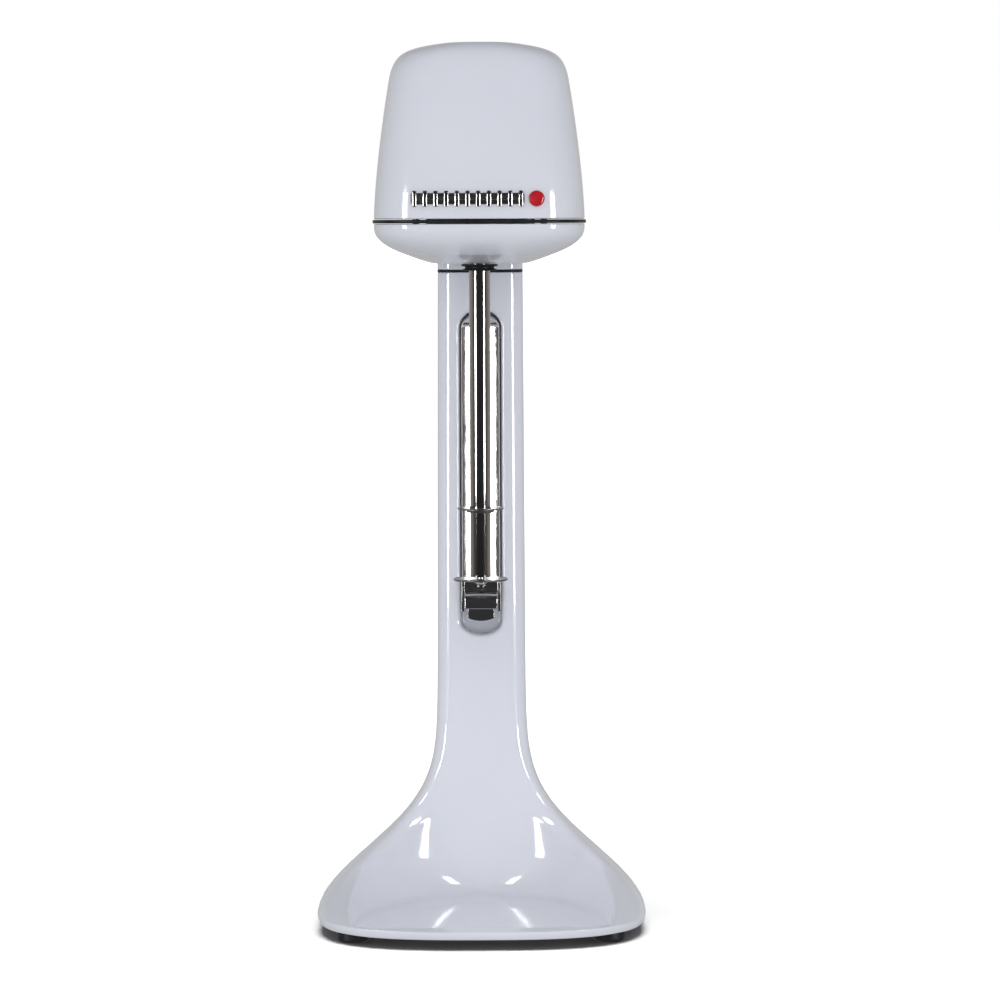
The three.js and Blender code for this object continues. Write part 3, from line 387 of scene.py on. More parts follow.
def casting_gauge(x, y, z, inward=0.0):
    flare = sweep(z, *SIDE_SWEEP)
    tuck = RIM_TUCK * np.maximum(0, (RIM_Z - z) / (RIM_Z - BASE_BOTTOM)) ** 2 + inward
    column = COLUMN_HALF + COLUMN_TAPER * (COLUMN_TOP - z)
    return gauge(
        x, y,
        column + (HALF_WIDTH - column) * flare - tuck,
        mix(COLUMN_FRONT, BASE_FRONT, sweep(z, *FRONT_SWEEP)) + tuck,
        mix(COLUMN_MIDDLE, BASE_MIDDLE, flare ** 1.2),
        mix(COLUMN_BACK, BASE_BACK, sweep(z, *BACK_SWEEP)) - tuck,
        mix(HEAD_POWER, BASE_POWER, flare),
    )


# Height, half width, back and squareness of the scooped tray.
SCOOP = np.array([
    (9.5, 68, 26, 1.8), (10.1, 69.6, 32, 1.9), (12, 71, 36.5, 2), (15, 73, 39, 2.1), (20, 76, 41, 2.2),
    (28, 79, 42.7, 2.4), (38, 70, 44.2, 2.8), (50, 57, 45.6, 3.6), (62, 48, 46.8, 4.4), (78, 44, 47.5, 4.6),
    (95, 44, 47.7, 4.6), (115, 44, 46.6, 4.6), (130, 44, 43, 4.6),
])
TRAY_FLOOR, TRAY_FRONT, TRAY_MIDDLE, TRAY_POWER = 9.5, -93.0, -74.0, 3.2


def smooth_rows(table, z, column):
    """Smooth curve through one column of a table, with no overshoot."""
    heights, values = table[:, 0], table[:, column]
    slope = np.diff(values) / np.diff(heights)
    inner = slope[:-1] * slope[1:]
    middle = np.where(inner > 0, 2 * inner / np.where(inner > 0, slope[:-1] + slope[1:], 1), 0)
    tangent = np.concatenate([[slope[0]], middle, [slope[-1]]])
    z = np.clip(z, heights[0], heights[-1])
    i = np.clip(np.searchsorted(heights, z, side="right") - 1, 0, len(heights) - 2)
    step = heights[i + 1] - heights[i]
    t = (z - heights[i]) / step
    return (values[i] * (1 + 2 * t) * (1 - t) ** 2 + tangent[i] * step * t * (1 - t) ** 2
            + values[i + 1] * t * t * (3 - 2 * t) + tangent[i + 1] * step * t * t * (t - 1))


def scoop_gauge(x, y, z):
    """The scoop is closed by a lip at the front low down, and open to the front above it."""
    front = mix(TRAY_FRONT, BASE_FRONT - 60, ease(12.0, 15.0, z))
    half, back, power = (smooth_rows(SCOOP, z, column) for column in (1, 2, 3))
    return gauge(x, y, half, front, TRAY_MIDDLE, back, power, TRAY_POWER)


def distance(function, x, y, z, step=0.05):
    """About how far a point is from a function's zero surface."""
    here = function(x, y, z)
    gx = (function(x + step, y, z) - here) / step
    gy = (function(x, y + step, z) - here) / step
    gz = (function(x, y, z + step) - here) / step
    return here / np.sqrt(gx * gx + gy * gy + gz * gz + 1e-8)


def smooth_max(a, b, k):
    h = np.maximum(k - np.abs(a - b), 0) / k
    return np.maximum(a, b) + h * h * k / 4


SLOT_HALF, SLOT_BOTTOM, SLOT_TOP, SLOT_BACK = 11.6, 154.8, 338.1, 64.0
SLOT_BOTTOM_RISE, SLOT_TOP_RISE = 8, 10
PLUNGER_BORE, GLAND_BORE, GLAND_SEAT = 2.5, 6.1, 8.7  # radii
WALL, CAVITY_ROOF = 4.9, 7.3
SWITCH_Z = sum(c[2] for c in span("switch_plunger")) / 2
GLAND_Z = sum(c[2] for c in span("cord_gland")) / 2
SCOOP_TOP = 135  # above this height the scoop no longer touches the column


def slot_gauge(x, y, z):
    below = np.maximum(0, (SLOT_BOTTOM + SLOT_BOTTOM_RISE) - z) / SLOT_BOTTOM_RISE
    above = np.maximum(0, z - (SLOT_TOP - SLOT_TOP_RISE)) / SLOT_TOP_RISE
    return (np.sqrt((x / SLOT_HALF) ** 2 + below ** 2 + above ** 2) - 1) * SLOT_HALF


def casting_field(x, y, z):
    """The casting: below 0 in metal. Its edges are blended, the scoop's upper edge the most.
    A feature is worked out only for points at its own heights."""
    low, high = z.min(), z.max()
    body = distance(casting_gauge, x, y, z)
    body = smooth_max(body, BASE_BOTTOM - z, 1.0)
    body = smooth_max(body, z - COLUMN_TOP - 0.3, 0.7)
    if low < SCOOP_TOP:
        dish = smooth_max(distance(scoop_gauge, x, y, z), TRAY_FLOOR - z, 2.4)
        edge = mix(1.6, 11.0, ease(12, 30, z)) * mix(1.0, 0.3, ease(42, 92, z))
        body = smooth_max(body, -dish, edge)
    if high > SLOT_BOTTOM - 6 and low < SLOT_TOP + 6:
        slot = smooth_max(distance(slot_gauge, x, y, z), y - SLOT_BACK, 3.0)
        body = smooth_max(body, -slot, 3.4)
    if high > SWITCH_Z - 8 and low < SWITCH_Z + 8:
        bore = smooth_max(np.hypot(x, z - SWITCH_Z) - PLUNGER_BORE, np.abs(y - 69) - 8.5, 0.4)
        body = smooth_max(body, -bore, 0.8)
    if low < GLAND_Z + 14:
        seat = smooth_max(np.hypot(x, z - GLAND_Z) - GLAND_SEAT, 98.7 - y, 0.4)
        body = smooth_max(body, -seat, 1.2)
        bore = smooth_max(np.hypot(x, z - GLAND_Z) - GLAND_BORE, 86 - y, 0.4)
        body = smooth_max(body, -bore, 0.3)
    if low < 12:
        inner = distance(lambda a, b, c: casting_gauge(a, b, c * 0 + RIM_Z, WALL), x, y, z)
        body = smooth_max(body, -smooth_max(inner, z - CAVITY_ROOF, 0.4), 0.8)
    return body


def graded(*stops):
    """Grid lines from stops of (start, spacing), the last stop being (end, None)."""
    lines = []
    for (start, step), (end, _) in zip(stops, stops[1:]):
        count = max(1, int(round((end - start) / step)))
        lines.extend(start + (end - start) * np.arange(count) / count)
    lines.append(stops[-1][0])
    return np.array(lines, float)


def net_surface(field, xs, ys, zs, rounds=3):
    """Quad mesh on the zero surface of a field, with its points on the surface and its true normals."""
    values = np.empty((len(xs), len(ys), len(zs)))
    for start in range(0, len(zs), 8):
        gx, gy, gz = np.meshgrid(xs, ys, zs[start:start + 8], indexing="ij")
        values[:, :, start:start + 8] = field(gx, gy, gz)
    inside = values < 0
    total = sum(
        inside[i:len(xs) - 1 + i, j:len(ys) - 1 + j, k:len(zs) - 1 + k].astype(np.int8)
        for i in (0, 1) for j in (0, 1) for k in (0, 1)
    )
    active = (total > 0) & (total < 8)
    cells = np.argwhere(active)
    corner = np.array([(i, j, k) for i in (0, 1) for j in (0, 1) for k in (0, 1)])
    at = cells[:, None, :] + corner[None]
    level = values[at[..., 0], at[..., 1], at[..., 2]]
    place = np.stack([xs[at[..., 0]], ys[at[..., 1]], zs[at[..., 2]]], -1)
    points = np.zeros((len(cells), 3))
    found = np.zeros(len(cells))
    for a in range(8):
        for b in range(a + 1, 8):
            if np.abs(corner[a] - corner[b]).sum() != 1:
                continue
            crosses = (level[:, a] < 0) != (level[:, b] < 0)
            t = np.where(crosses, level[:, a] / np.where(crosses, level[:, a] - level[:, b], 1), 0)
            points += np.where(crosses[:, None], place[:, a] + t[:, None] * (place[:, b] - place[:, a]), 0)
            found += crosses
    points /= found[:, None]
    number = np.full(active.shape, -1)
    number[active] = np.arange(len(cells))
    faces = []
    for axis in range(3):
        u, v = [k for k in range(3) if k != axis]
        low = [slice(1, -1)] * 3
        low[axis] = slice(0, -1)
        high = list(low)
        high[axis] = slice(1, None)
        first, second = inside[tuple(low)], inside[tuple(high)]
        edges = np.argwhere(first != second)
        leaving = first[edges[:, 0], edges[:, 1], edges[:, 2]]
        edges[:, u] += 1
        edges[:, v] += 1
        ring = []
        for du, dv in ((-1, -1), (0, -1), (0, 0), (-1, 0)):
            cell = edges.copy()
            cell[:, u] += du
            cell[:, v] += dv
            ring.append(number[cell[:, 0], cell[:, 1], cell[:, 2]])
        ring = np.stack(ring, 1)
        turn = leaving if axis != 1 else ~leaving
        ring[~turn] = ring[~turn][:, ::-1]
        faces.append(ring)
    faces = np.concatenate(faces)
    normals = np.empty_like(points)
    for group in np.array_split(np.argsort(points[:, 2], kind="stable"), 48):
        part = points[group]
        for _ in range(rounds):
            here, slope = slope_of(field, part)
            move = here / np.maximum((slope ** 2).sum(1), 0.05)
            part -= np.clip(move, -1.0, 1.0)[:, None] * slope
        slope = slope_of(field, part)[1]
        points[group] = part
        normals[group] = slope / np.maximum(np.linalg.norm(slope, axis=1), 1e-9)[:, None]
    return points, faces, normals


def slope_of(field, points, step=0.04):
    x, y, z = points.T
    here = field(x, y, z)
    return here, np.stack([
        (field(x + step, y, z) - field(x - step, y, z)) / (2 * step),
        (field(x, y + step, z) - field(x, y - step, z)) / (2 * step),
        (field(x, y, z + step) - field(x, y, z - step)) / (2 * step),
    ], 1)


def column_base():
    half = graded((0, 1.3), (9, 0.5), (15, 1.0), (22, 0.45), (27, 1.0), (45, 1.7), (92, None))
    xs = np.concatenate([-half[:0:-1], half])
    ys = graded((-104, 0.9), (-88, 1.7), (30, 1.0), (45, 0.5), (52, 1.0), (66, 1.4), (84, 0.6), (104, None))
    zs = graded((4.6, 0.4), (14, 0.9), (34, 1.5), (100, 2.2), (152, 0.6), (168, 3.0), (262, 0.8), (278, 3.0),
                (326, 0.6), (342, 1.6), (356, 0.35), (360, None))
    points, faces, normals = net_surface(casting_field, xs, ys, zs)
    piece = make_piece("casting", points, faces, normals)
    return finish_piece(piece, "stand", "white_enamel", "column_base")


# ------------------------------------------------------------------ head


def outline(half, front, middle, back, power, z, count=240):
    """Rounded outline with its points evenly spaced along it, starting at the right."""
    angle = np.linspace(0, 2 * np.pi, 2881)
    across, along = np.cos(angle), np.sin(angle)
    reach = np.where(along < 0, middle - front, back - middle)
    x = half * np.sign(across) * np.abs(across) ** (2 / power)
    y = middle + reach * np.sign(along) * np.abs(along) ** (2 / power)
    length = np.concatenate([[0], np.cumsum(np.hypot(np.diff(x), np.diff(y)))])
    quarter = np.interp(np.linspace(0, 2 * np.pi, 5), angle, length)
    steps = count // 4
    places = np.concatenate([np.linspace(a, b, steps, endpoint=False) for a, b in zip(quarter, quarter[1:])])
    return np.stack([np.interp(places, length, x), np.interp(places, length, y), np.full(count, float(z))], 1)


def head_outline(half, z, short=0.0, inward=0.0, power=HEAD_POWER, back=None):
    depth = half + HEAD_DEEP + short - inward
    back = HEAD_MIDDLE + depth if back is None else back
    return outline(half - inward, HEAD_MIDDLE - depth, HEAD_MIDDLE, back, power, z)


CROWN_START = 463
CROWN_ROUND = ((10, 2.9), (20, 9.1))  # how far the crown draws in, and how late
HOOD_TAPER, HOOD_TAPER_EASE = 12, 1.49
BOWL_NARROWS, BOWL_EASE = 17.5, 2.6
BOWL_FLOOR, NECK_PLATEAU = 369.7, 364.8
SPINDLE_HOLE = 8.2


def hood_ring(z, inward=0.0, at=None):
    """Outline of the hood at one height, drawn inwards by a distance, at the height given by at."""
    bottom, top = GASKET_HIGH[2], HOOD_HIGH[2]
    rise = np.clip((z - bottom) / (top - bottom), 0, 1)
    crown = np.clip((z - CROWN_START) / (top - CROWN_START), 0, 1)
    shoulder = sum(reach * crown ** late for reach, late in CROWN_ROUND)
    half = HEAD_HALF - HOOD_TAPER * rise ** HOOD_TAPER_EASE - shoulder
    power = mix(HEAD_POWER, 2.7, min(1.0, shoulder / 26) ** 0.8)
    return head_outline(half, z if at is None else at, 0.6 * shoulder, inward, power)


SWITCH_LEAN = math.radians(5)
SWITCH_SEAT = Vector((0, HEAD_MIDDLE + HEAD_HALF + HEAD_DEEP - 2.1, 418))
SWITCH_HOLE = (14.6, 24, 20.6)


def hood():
    bottom, top = HOOD_LOW[2], HOOD_HIGH[2]
    join = top - 0.8
    edge = hood_ring(join, 3.0, join - 4)
    rings = [mix(edge.mean(0), edge, t) for t in np.linspace(0.15, 1, 6)]
    rings += [hood_ring(z, 3.0, z - 4) for z in np.linspace(join, 468, 8)[1:]]
    rings += [hood_ring(max(z, bottom), 3.0, z) for z in np.linspace(460, bottom, 8)]
    rings += [hood_ring(bottom, d, bottom) for d in (2.2, 1.0)]
    for a in np.linspace(0, np.pi / 2, 5):
        rings.append(hood_ring(bottom, 0.7 * (1 - math.sin(a)), bottom + 0.7 * (1 - math.cos(a))))
    rings += [hood_ring(z) for z in np.linspace(bottom + 1.6, 455, 26)]
    for t in np.linspace(0, 1, 46)[1:]:
        rings.append(hood_ring(mix(455, join, 1 - (1 - t) ** 1.9)))
    rim = rings[-1]
    middle = np.array([0, HEAD_MIDDLE, join])
    for t in np.linspace(1, 0.04, 16)[1:]:
        ring = mix(middle, rim, t)
        ring[:, 2] = join + (top - join) * (1 - t ** 3.6)
        rings.append(ring)
    piece = loft("hood_shell", rings)
    hole = bmesh.new()
    bmesh.ops.create_cube(hole, size=1.0)
    bmesh.ops.scale(hole, vec=[size * MM for size in SWITCH_HOLE], verts=hole.verts)
    cut_away(piece, hole, SWITCH_SEAT, SWITCH_LEAN)
    piece.data.set_sharp_from_angle(angle=math.radians(50))
    return finish_piece(piece, "stand", "white_enamel", "hood")


def bowl_ring(drop, z, inward=0.0):
    """Outline of the bowl, where drop goes from 0 at its rim to 1 at its floor."""
    half = HEAD_HALF - BOWL_NARROWS * max(0.0, drop) ** BOWL_EASE
    return head_outline(half, z, 0.0, inward, HEAD_POWER, back=HEAD_MIDDLE + HEAD_HALF + HEAD_DEEP - inward)


def neck_ring(z, outward=0.0):
    front, back = COLUMN_FRONT - outward, COLUMN_BACK + outward
    return outline(COLUMN_HALF + outward, front, COLUMN_MIDDLE, back, HEAD_POWER, z)


def lower_housing():
    low, high = span("lower_housing")
    floor_z, plateau_z = BOWL_FLOOR, NECK_PLATEAU
    foot = ((0, -6), (0, -1), (0.1, -0.3), (0.4, 0))
    rings = [neck_ring(low[2] + rise, outward) for rise, outward in foot]
    rings += [neck_ring(z) for z in np.linspace(low[2] + 1, 363.6, 4)]
    plateau = outline(COLUMN_HALF + 2, -20.0, 34.0, COLUMN_BACK, HEAD_POWER, plateau_z)
    for a in np.linspace(0, np.pi / 2, 6)[1:]:
        ring = neck_ring(plateau_z, 1 - math.cos(a))
        ring[:, 1] = np.minimum(ring[:, 1], COLUMN_BACK)
        ring[:, 2] = 363.7 + 1.1 * math.sin(a)
        rings.append(ring)
    edge = rings[-1]
    rings += [mix(edge, plateau, t) for t in np.linspace(0, 1, 10)[1:]]
    bowl = bowl_ring(1.0, floor_z)
    for t in np.linspace(0, 1, 18)[1:]:
        ring = mix(plateau, bowl, t)
        ring[:, 2] = plateau_z + (floor_z - plateau_z) * t ** 1.2
        rings.append(ring)
    rim = high[2]
    for drop in np.linspace(1, 0, 26)[1:]:
        rings.append(bowl_ring(drop, mix(rim - 0.5, floor_z, drop)))
    for a in np.linspace(0, np.pi / 2, 4)[1:]:
        rings.append(bowl_ring(0, rim - 0.5 + 0.5 * math.sin(a), 0.5 * (1 - math.cos(a))))
    rings.append(bowl_ring(0, rim, 2.9))
    for drop in np.linspace(0, 0.8, 7):
        rings.append(bowl_ring(drop, mix(rim - 0.4, 373.4, drop / 0.8), 3.0))
    edge = rings[-1]
    middle = np.array([0, HEAD_MIDDLE, 373.4])
    rings += [mix(middle, edge, t) for t in (0.8, 0.5, 0.2)]
    piece = loft("bowl_shell", rings)
    cut_round_hole(piece, 0, SPINDLE_Y, SPINDLE_HOLE, 360, 376)
    return finish_piece(piece, "stand", "white_enamel", "lower_housing")


def seam_gasket():
    low, high = GASKET_LOW[2], GASKET_HIGH[2]
    half = (high - low) / 2
    rings = []
    for a in np.linspace(-np.pi / 2, np.pi / 2, 13):
        proud = -0.8 + 0.8 * (1 - abs(math.cos(a)) ** 0.6)
        rings.append(head_outline(HEAD_HALF, low + half + half * math.sin(a), 0, proud))
    inner = [head_outline(HEAD_HALF, z, 0, 4.2) for z in (high, low)]
    return finish_piece(band("seam_band", rings + inner), "stand", "black_rubber", "seam_gasket")


def neck_gasket():
    low, high = CASTING_HIGH[2] + 0.3, span("lower_housing")[0][2]
    half = (high - low) / 2
    rings = []
    for a in np.linspace(-np.pi / 2, np.pi / 2, 9):
        rings.append(neck_ring(low + half + half * math.sin(a), 0.1 - 0.5 * (1 - math.cos(a) ** 0.7)))
    rings += [neck_ring(z, -6) for z in (high, low)]
    return finish_piece(band("neck_band", rings), "stand", "black_rubber", "neck_gasket")


# ------------------------------------------------------------------ badge


def hood_front(x, z, out):
    """Point on the hood's front face at a given x and height, out from it by a distance."""
    bottom, top = GASKET_HIGH[2], HOOD_HIGH[2]
    rise = (z - bottom) / (top - bottom)
    half = HEAD_HALF - HOOD_TAPER * rise ** HOOD_TAPER_EASE + out
    depth = half + HEAD_DEEP
    y = HEAD_MIDDLE - depth * (1 - np.minimum(1, np.abs(x) / half) ** HEAD_POWER) ** (1 / HEAD_POWER)
    return np.stack([x + 0 * z, y, z + 0 * x], -1)


def raised_plate(name, points, near, far, edge):
    """Plate on the hood's front from a closed outline in x and z, with rounded front edges."""
    points = np.array(points, float)
    centre = points.mean(0)
    tangent = np.roll(points, -1, 0) - np.roll(points, 1, 0)
    inward = np.stack([-tangent[:, 1], tangent[:, 0]], 1)
    inward /= np.maximum(np.linalg.norm(inward, axis=1), 1e-9)[:, None]
    inward *= np.sign(((centre - points) * inward).sum(1))[:, None]
    rings = [hood_front(points[:, 0], points[:, 1], near)]
    for a in np.linspace(0, np.pi / 2, 5):
        shape = points + inward * edge * (1 - math.cos(a))
        rings.append(hood_front(shape[:, 0], shape[:, 1], far - edge * (1 - math.sin(a))))
    for t in (0.5, 0.1):
        shape = centre + (points + inward * edge - centre) * t
        rings.append(hood_front(shape[:, 0], shape[:, 1], far))
    return loft(name, rings)


def box_outline(x0, x1, z0, z1, radius, steps=4):
    points = []
    for cx, cz, start in ((x1 - radius, z0 + radius, -90), (x1 - radius, z1 - radius, 0),
                          (x0 + radius, z1 - radius, 90), (x0 + radius, z0 + radius, 180)):
        for i in range(steps + 1):
            a = math.radians(start + 90 * i / steps)
            points.append((cx + radius * math.cos(a), cz + radius * math.sin(a)))
    line = np.array(points)
    filled = []
    for a, b in zip(line, np.roll(line, -1, 0)):
        extra = max(1, int(np.linalg.norm(b - a) / 2.0))
        filled += [a + (b - a) * k / extra for k in range(extra)]
    return filled


def merged(name, pieces):
    """One piece from several."""
    bm = bmesh.new()
    for piece in pieces:
        bm.from_mesh(piece.data)
        bpy.data.objects.remove(piece)
    mesh = bpy.data.meshes.new(name)
    bm.to_mesh(mesh)
    bm.free()
    result = bpy.data.objects.new(name, mesh)
    bpy.context.scene.collection.objects.link(result)
    mesh.shade_smooth()
    return result


def badge():
    low, high = span("badge_ribs")
    middle = (low[2] + high[2]) / 2
    back_low, back_high = span("badge_backing")
    strip = box_outline(back_low[0], back_high[0], back_low[2], back_high[2], 1.2)
    backing = raised_plate("badge_plate", strip, 0.1, 1.1, 0.4)
    finish_piece(backing, "stand", "dark_plastic", "badge_backing")
    spine = box_outline(low[0], high[0], middle - 0.7, middle + 0.7, 0.4)
    parts = [raised_plate("spine", spine, 1.2, 2.0, 0.3)]
    count = 11
    for i in range(count):
        x = mix(low[0] + 1.4, high[0] - 1.4, i / (count - 1))
        rib = box_outline(x - 1.3, x + 1.3, low[2], high[2], 0.9)
        parts.append(raised_plate("rib", rib, 1.2, 2.6, 0.7))
    finish_piece(merged("badge_rib_row", parts), "stand", "bright_chrome", "badge_ribs")
    dot_low, dot_high = span("badge_accent")
    radius = (dot_high[0] - dot_low[0]) / 2
    cx = (dot_low[0] + dot_high[0]) / 2
    turn = np.linspace(0, 2 * np.pi, 49)[:-1]
    circle = [(cx + radius * math.cos(a), middle + radius * math.sin(a)) for a in turn]
    dot = raised_plate("badge_dot", circle, 0.1, 2.3, 1.2)
    finish_piece(dot, "stand", "red_enamel", "badge_accent")


# ------------------------------------------------------------------ spindle line


LOWER_DISC_Z = 190.1
SHAFT_RADIUS = 4.0
SHOULDER_Z = 371  # the bar narrows to the shaft here, inside the head


def spindle_line():
    low, high = span("spindle")
    radius = (high[0] - low[0]) / 2
    bar = lathe("spindle_bar", [(0, low[2]), (2.2, low[2]), (radius, low[2]), (radius, SHOULDER_Z),
                                (SHAFT_RADIUS, SHOULDER_Z + 1), (SHAFT_RADIUS, high[2]), (0, high[2])],
                y=SPINDLE_Y, count=96)
    finish_piece(bar, "rotor", "polished_steel", "spindle")

    low, high = span("flinger")
    z0, z1 = low[2], high[2]
    profile = [(6.0, z0), (9.2, z0), (9.6, z0 + 0.4), (9.2, z0 + 0.8), (8.0, z0 + 1.1), (8.0, z0 + 2.1),
               (9.9, z0 + 2.4), (10.2, z0 + 3.0), (9.6, z1), (6.0, z1)]
    disc = lathe("drip_flinger", profile, y=SPINDLE_Y, count=96, radius=0.3, closed=True)
    finish_piece(disc, "rotor", "black_rubber", "flinger")

    z = span("upper_agitator")[1][2] - 1.25
    wavy_disc("upper_disc", radius + 0.1, 12.7, z, 1.1, 0.15, 4, 7.7, (z - 1.6, z + 0.5), "upper_agitator")
    z = LOWER_DISC_Z
    wavy_disc("lower_disc", 2.3, 15.0, z, 1.0, 0.2, 3, 4.6, (z - 0.5, z + 0.6), "lower_agitator")
    low, high = span("agitator_screw")
    screw = lathe("disc_screw", [(0, low[2]), (2.2, low[2]), (3.6, low[2] + 0.9), (3.6, low[2] + 1.4),
                                 (2, low[2] + 1.4), (2, high[2]), (0, high[2])], y=SPINDLE_Y, count=48)
    finish_piece(screw, "rotor", "polished_steel", "agitator_screw")


def wavy_disc(name, hub, radius, z, sheet, wave, waves, boss, boss_z, node):
    """Thin disc with a gently waved, rolled rim and a boss in its middle."""
    count = 144
    line = [(hub, boss_z[0]), (boss - 0.3, boss_z[0]), (boss, boss_z[0] + 0.3), (boss, z)]
    line += [(r, z) for r in np.linspace(boss + 0.4, radius - 0.4, 8)]
    line += [(radius - 0.4 + 0.4 * math.cos(a), z + sheet / 2 + sheet / 2 * math.sin(a))
             for a in np.linspace(-np.pi / 2, np.pi / 2, 7)]
    line += [(r, z + sheet) for r in np.linspace(radius - 0.4, boss + 0.2, 8)]
    line += [(hub, z + sheet)]
    angle = 2 * np.pi * np.arange(count) / count
    rings = []
    for r, h in line:
        strength = max(0.0, r / radius - 0.55) / 0.45
        lift = wave * strength ** 2 * np.sin(waves * angle)
        rings.append(np.stack([r * np.cos(angle), SPINDLE_Y + r * np.sin(angle), h + lift], 1))
    piece = band(name, rings)
    piece.data.set_sharp_from_angle(angle=math.radians(50))
    # The discs take the darkened copy of the steel, so their colour carries painted shade.
    return finish_piece(piece, "rotor", "polished_steel", node, finish="satin_steel_shaded_dark")


# ------------------------------------------------------------------ cup guide


def cup_guide():
    low, high = span("cup_guide")
    half = high[0]
    front, rear = low[1], high[1]
    flat, lean, corner, bow = 3.0, 0.445, 1.4, 0.14
    sheet = 1.2
    z0, z1 = low[2], high[2]
    dome = 8.0

    def section(inward):
        """Half of the channel's section from the middle of its front to the rear edge of its flange."""
        w, y0 = half - inward, front + inward
        side = w - corner
        far = y0 + (side - flat) * lean
        line = [(x, y0) for x in np.linspace(0, flat - 0.7, 4)]
        for t in np.linspace(0, 1, 6)[1:]:
            x = flat - 0.7 + 1.4 * t
            line.append((x, y0 + 0.7 * lean * t * t))
        for t in np.linspace(0.1, 1, 12)[1:]:
            x = mix(flat, side, t)
            line.append((x, mix(y0, far, t) - 4 * bow * (t - 0.1) * (1 - t)))
        edge = far + corner * lean
        for t in np.linspace(0, 1, 8)[1:]:
            start, bend, stop = np.array([side, far]), np.array([w, edge]), np.array([w, edge + corner])
            line.append(tuple((1 - t) ** 2 * start + 2 * t * (1 - t) * bend + t * t * stop))
        line += [(w, y) for y in np.linspace(edge + corner, rear, 7)[1:]]
        return np.array(line)

    outer, inner = section(0.0), section(sheet)
    closed = np.concatenate([outer, inner[::-1]])
    full = np.concatenate([closed, closed[::-1] * np.array([-1, 1])])
    over = dome * np.sin(np.linspace(0, 1, 15)[1:] * 1.5)
    heights = np.concatenate([np.linspace(z0, z1 - dome, 34), z1 - dome + over])
    rings = []
    for z in heights:
        t = max(0.0, (z - (z1 - dome)) / dome)
        narrow = math.sqrt(max(0.0, 1 - t * t))
        back = 3.2 * t ** 1.3 + 0.9 * min(1.0, t * 9)
        leaned = full[:, 1] + back * np.clip((rear - full[:, 1]) / 8, 0, 1)
        rings.append(np.stack([full[:, 0] * max(narrow, 0.12), leaned, np.full(len(full), z)], 1))
    count = len(full)
    verts = np.concatenate(rings)
    faces = ring_faces(len(rings), count)
    n = len(outer)
    strips = []
    for side in (0, 2 * n):
        for i in range(n - 1):
            strips.append((side + i, side + i + 1, side + 2 * n - 2 - i, side + 2 * n - 1 - i))
    last = (len(rings) - 1) * count
    faces += strips
    faces += [tuple(last + k for k in reversed(f)) for f in strips]
    piece = closed_piece("guide_channel", verts, faces)
    piece.data.set_sharp_from_angle(angle=math.radians(42))
    return finish_piece(piece, "guide", "bright_chrome", "cup_guide")


def extruded(name, line, x0, x1):
    """Closed outline in y and z carried along x."""
    line = np.array(line, float)
    rings = [np.stack([np.full(len(line), x), line[:, 0], line[:, 1]], 1) for x in (x0, x1)]
    count = len(line)
    faces = ring_faces(len(rings), count)
    last = (len(rings) - 1) * count
    faces += [tuple(range(count - 1, -1, -1)), tuple(range(last, last + count))]
    return closed_piece(name, np.concatenate(rings), faces)


def strip_outline(centre, thickness):
    """Outline of a bent strip from its centre line."""
    centre = np.array(centre, float)
    tangent = np.gradient(centre, axis=0)
    normal = np.stack([-tangent[:, 1], tangent[:, 0]], 1)
    normal /= np.linalg.norm(normal, axis=1)[:, None]
    return np.concatenate([centre + normal * thickness / 2, (centre - normal * thickness / 2)[::-1]])


def cup_rest():
    high = span("cup_rest")[1]
    back = high[1]
    parts = []
    front, web_front = 40.6, back - 1.5
    outer, inner = 10.9, 9.3
    top, foot = high[2], 168.6
    for x0, x1 in ((-outer, -inner), (inner, outer)):
        cheek = [(back, foot), (front, foot), (front, top - 0.2), (back, top - 0.2)]
        parts.append(extruded("cheek", cheek, x0, x1))
    roof = [(back, top - 1.8), (front, top - 1.8), (front, top), (back, top)]
    parts.append(extruded("roof", roof, -outer, outer))
    plate = [(back, 177.0), (web_front, 177.0), (web_front, top - 0.3), (back, top - 0.3)]
    parts.append(extruded("web", plate, -9.6, 9.6))
    arc = [(32 - 2.95 * math.sin(a), 176.4 + 2.95 * math.cos(a)) for a in np.linspace(0, np.pi / 2, 8)]
    centre = [(back - 0.6, 179.35), (40, 179.35), (36, 179.35)] + arc + [(29.05, 174), (29.05, 171.2)]
    parts.append(extruded("shelf", strip_outline(centre, 1.3), -9.1, 9.1))
    tab = [(7.4 * t, 165.8 - 1.6 * (1 - t * t)) for t in np.linspace(-1, 1, 17)]
    tab += [(7.4, 172.5), (-7.4, 172.5)]
    piece = extruded("tab", [(z, x) for x, z in tab], 28.6, 29.7)
    for v in piece.data.vertices:
        v.co = (v.co.z, v.co.x, v.co.y)
    recalculate(piece)
    parts.append(piece)
    softness = (0.22, 0.22, 0.3, 0.3, 0.35, 0.45)  # one for each part, in order
    for piece, width in zip(parts, softness):
        soften(piece, width)
    whole = merged("rest_bracket", parts)
    finish_piece(whole, "guide", "bright_chrome", "cup_rest")

    low, high = span("cup_rest_screw")
    y0 = low[1]
    z = (low[2] + high[2]) / 2
    profile = [(0, y0), (1.4, y0 + 0.25), (2.2, y0 + 1.1), (2.4, y0 + 2.2), (1.4, y0 + 2.2), (1.4, high[1]),
               (0, high[1])]
    screw = lathe("rest_screw", profile, axis="y", count=48)
    for v in screw.data.vertices:
        v.co.z += z * MM
    finish_piece(screw, "guide", "polished_steel", "cup_rest_screw")


# ------------------------------------------------------------------ rear, feet


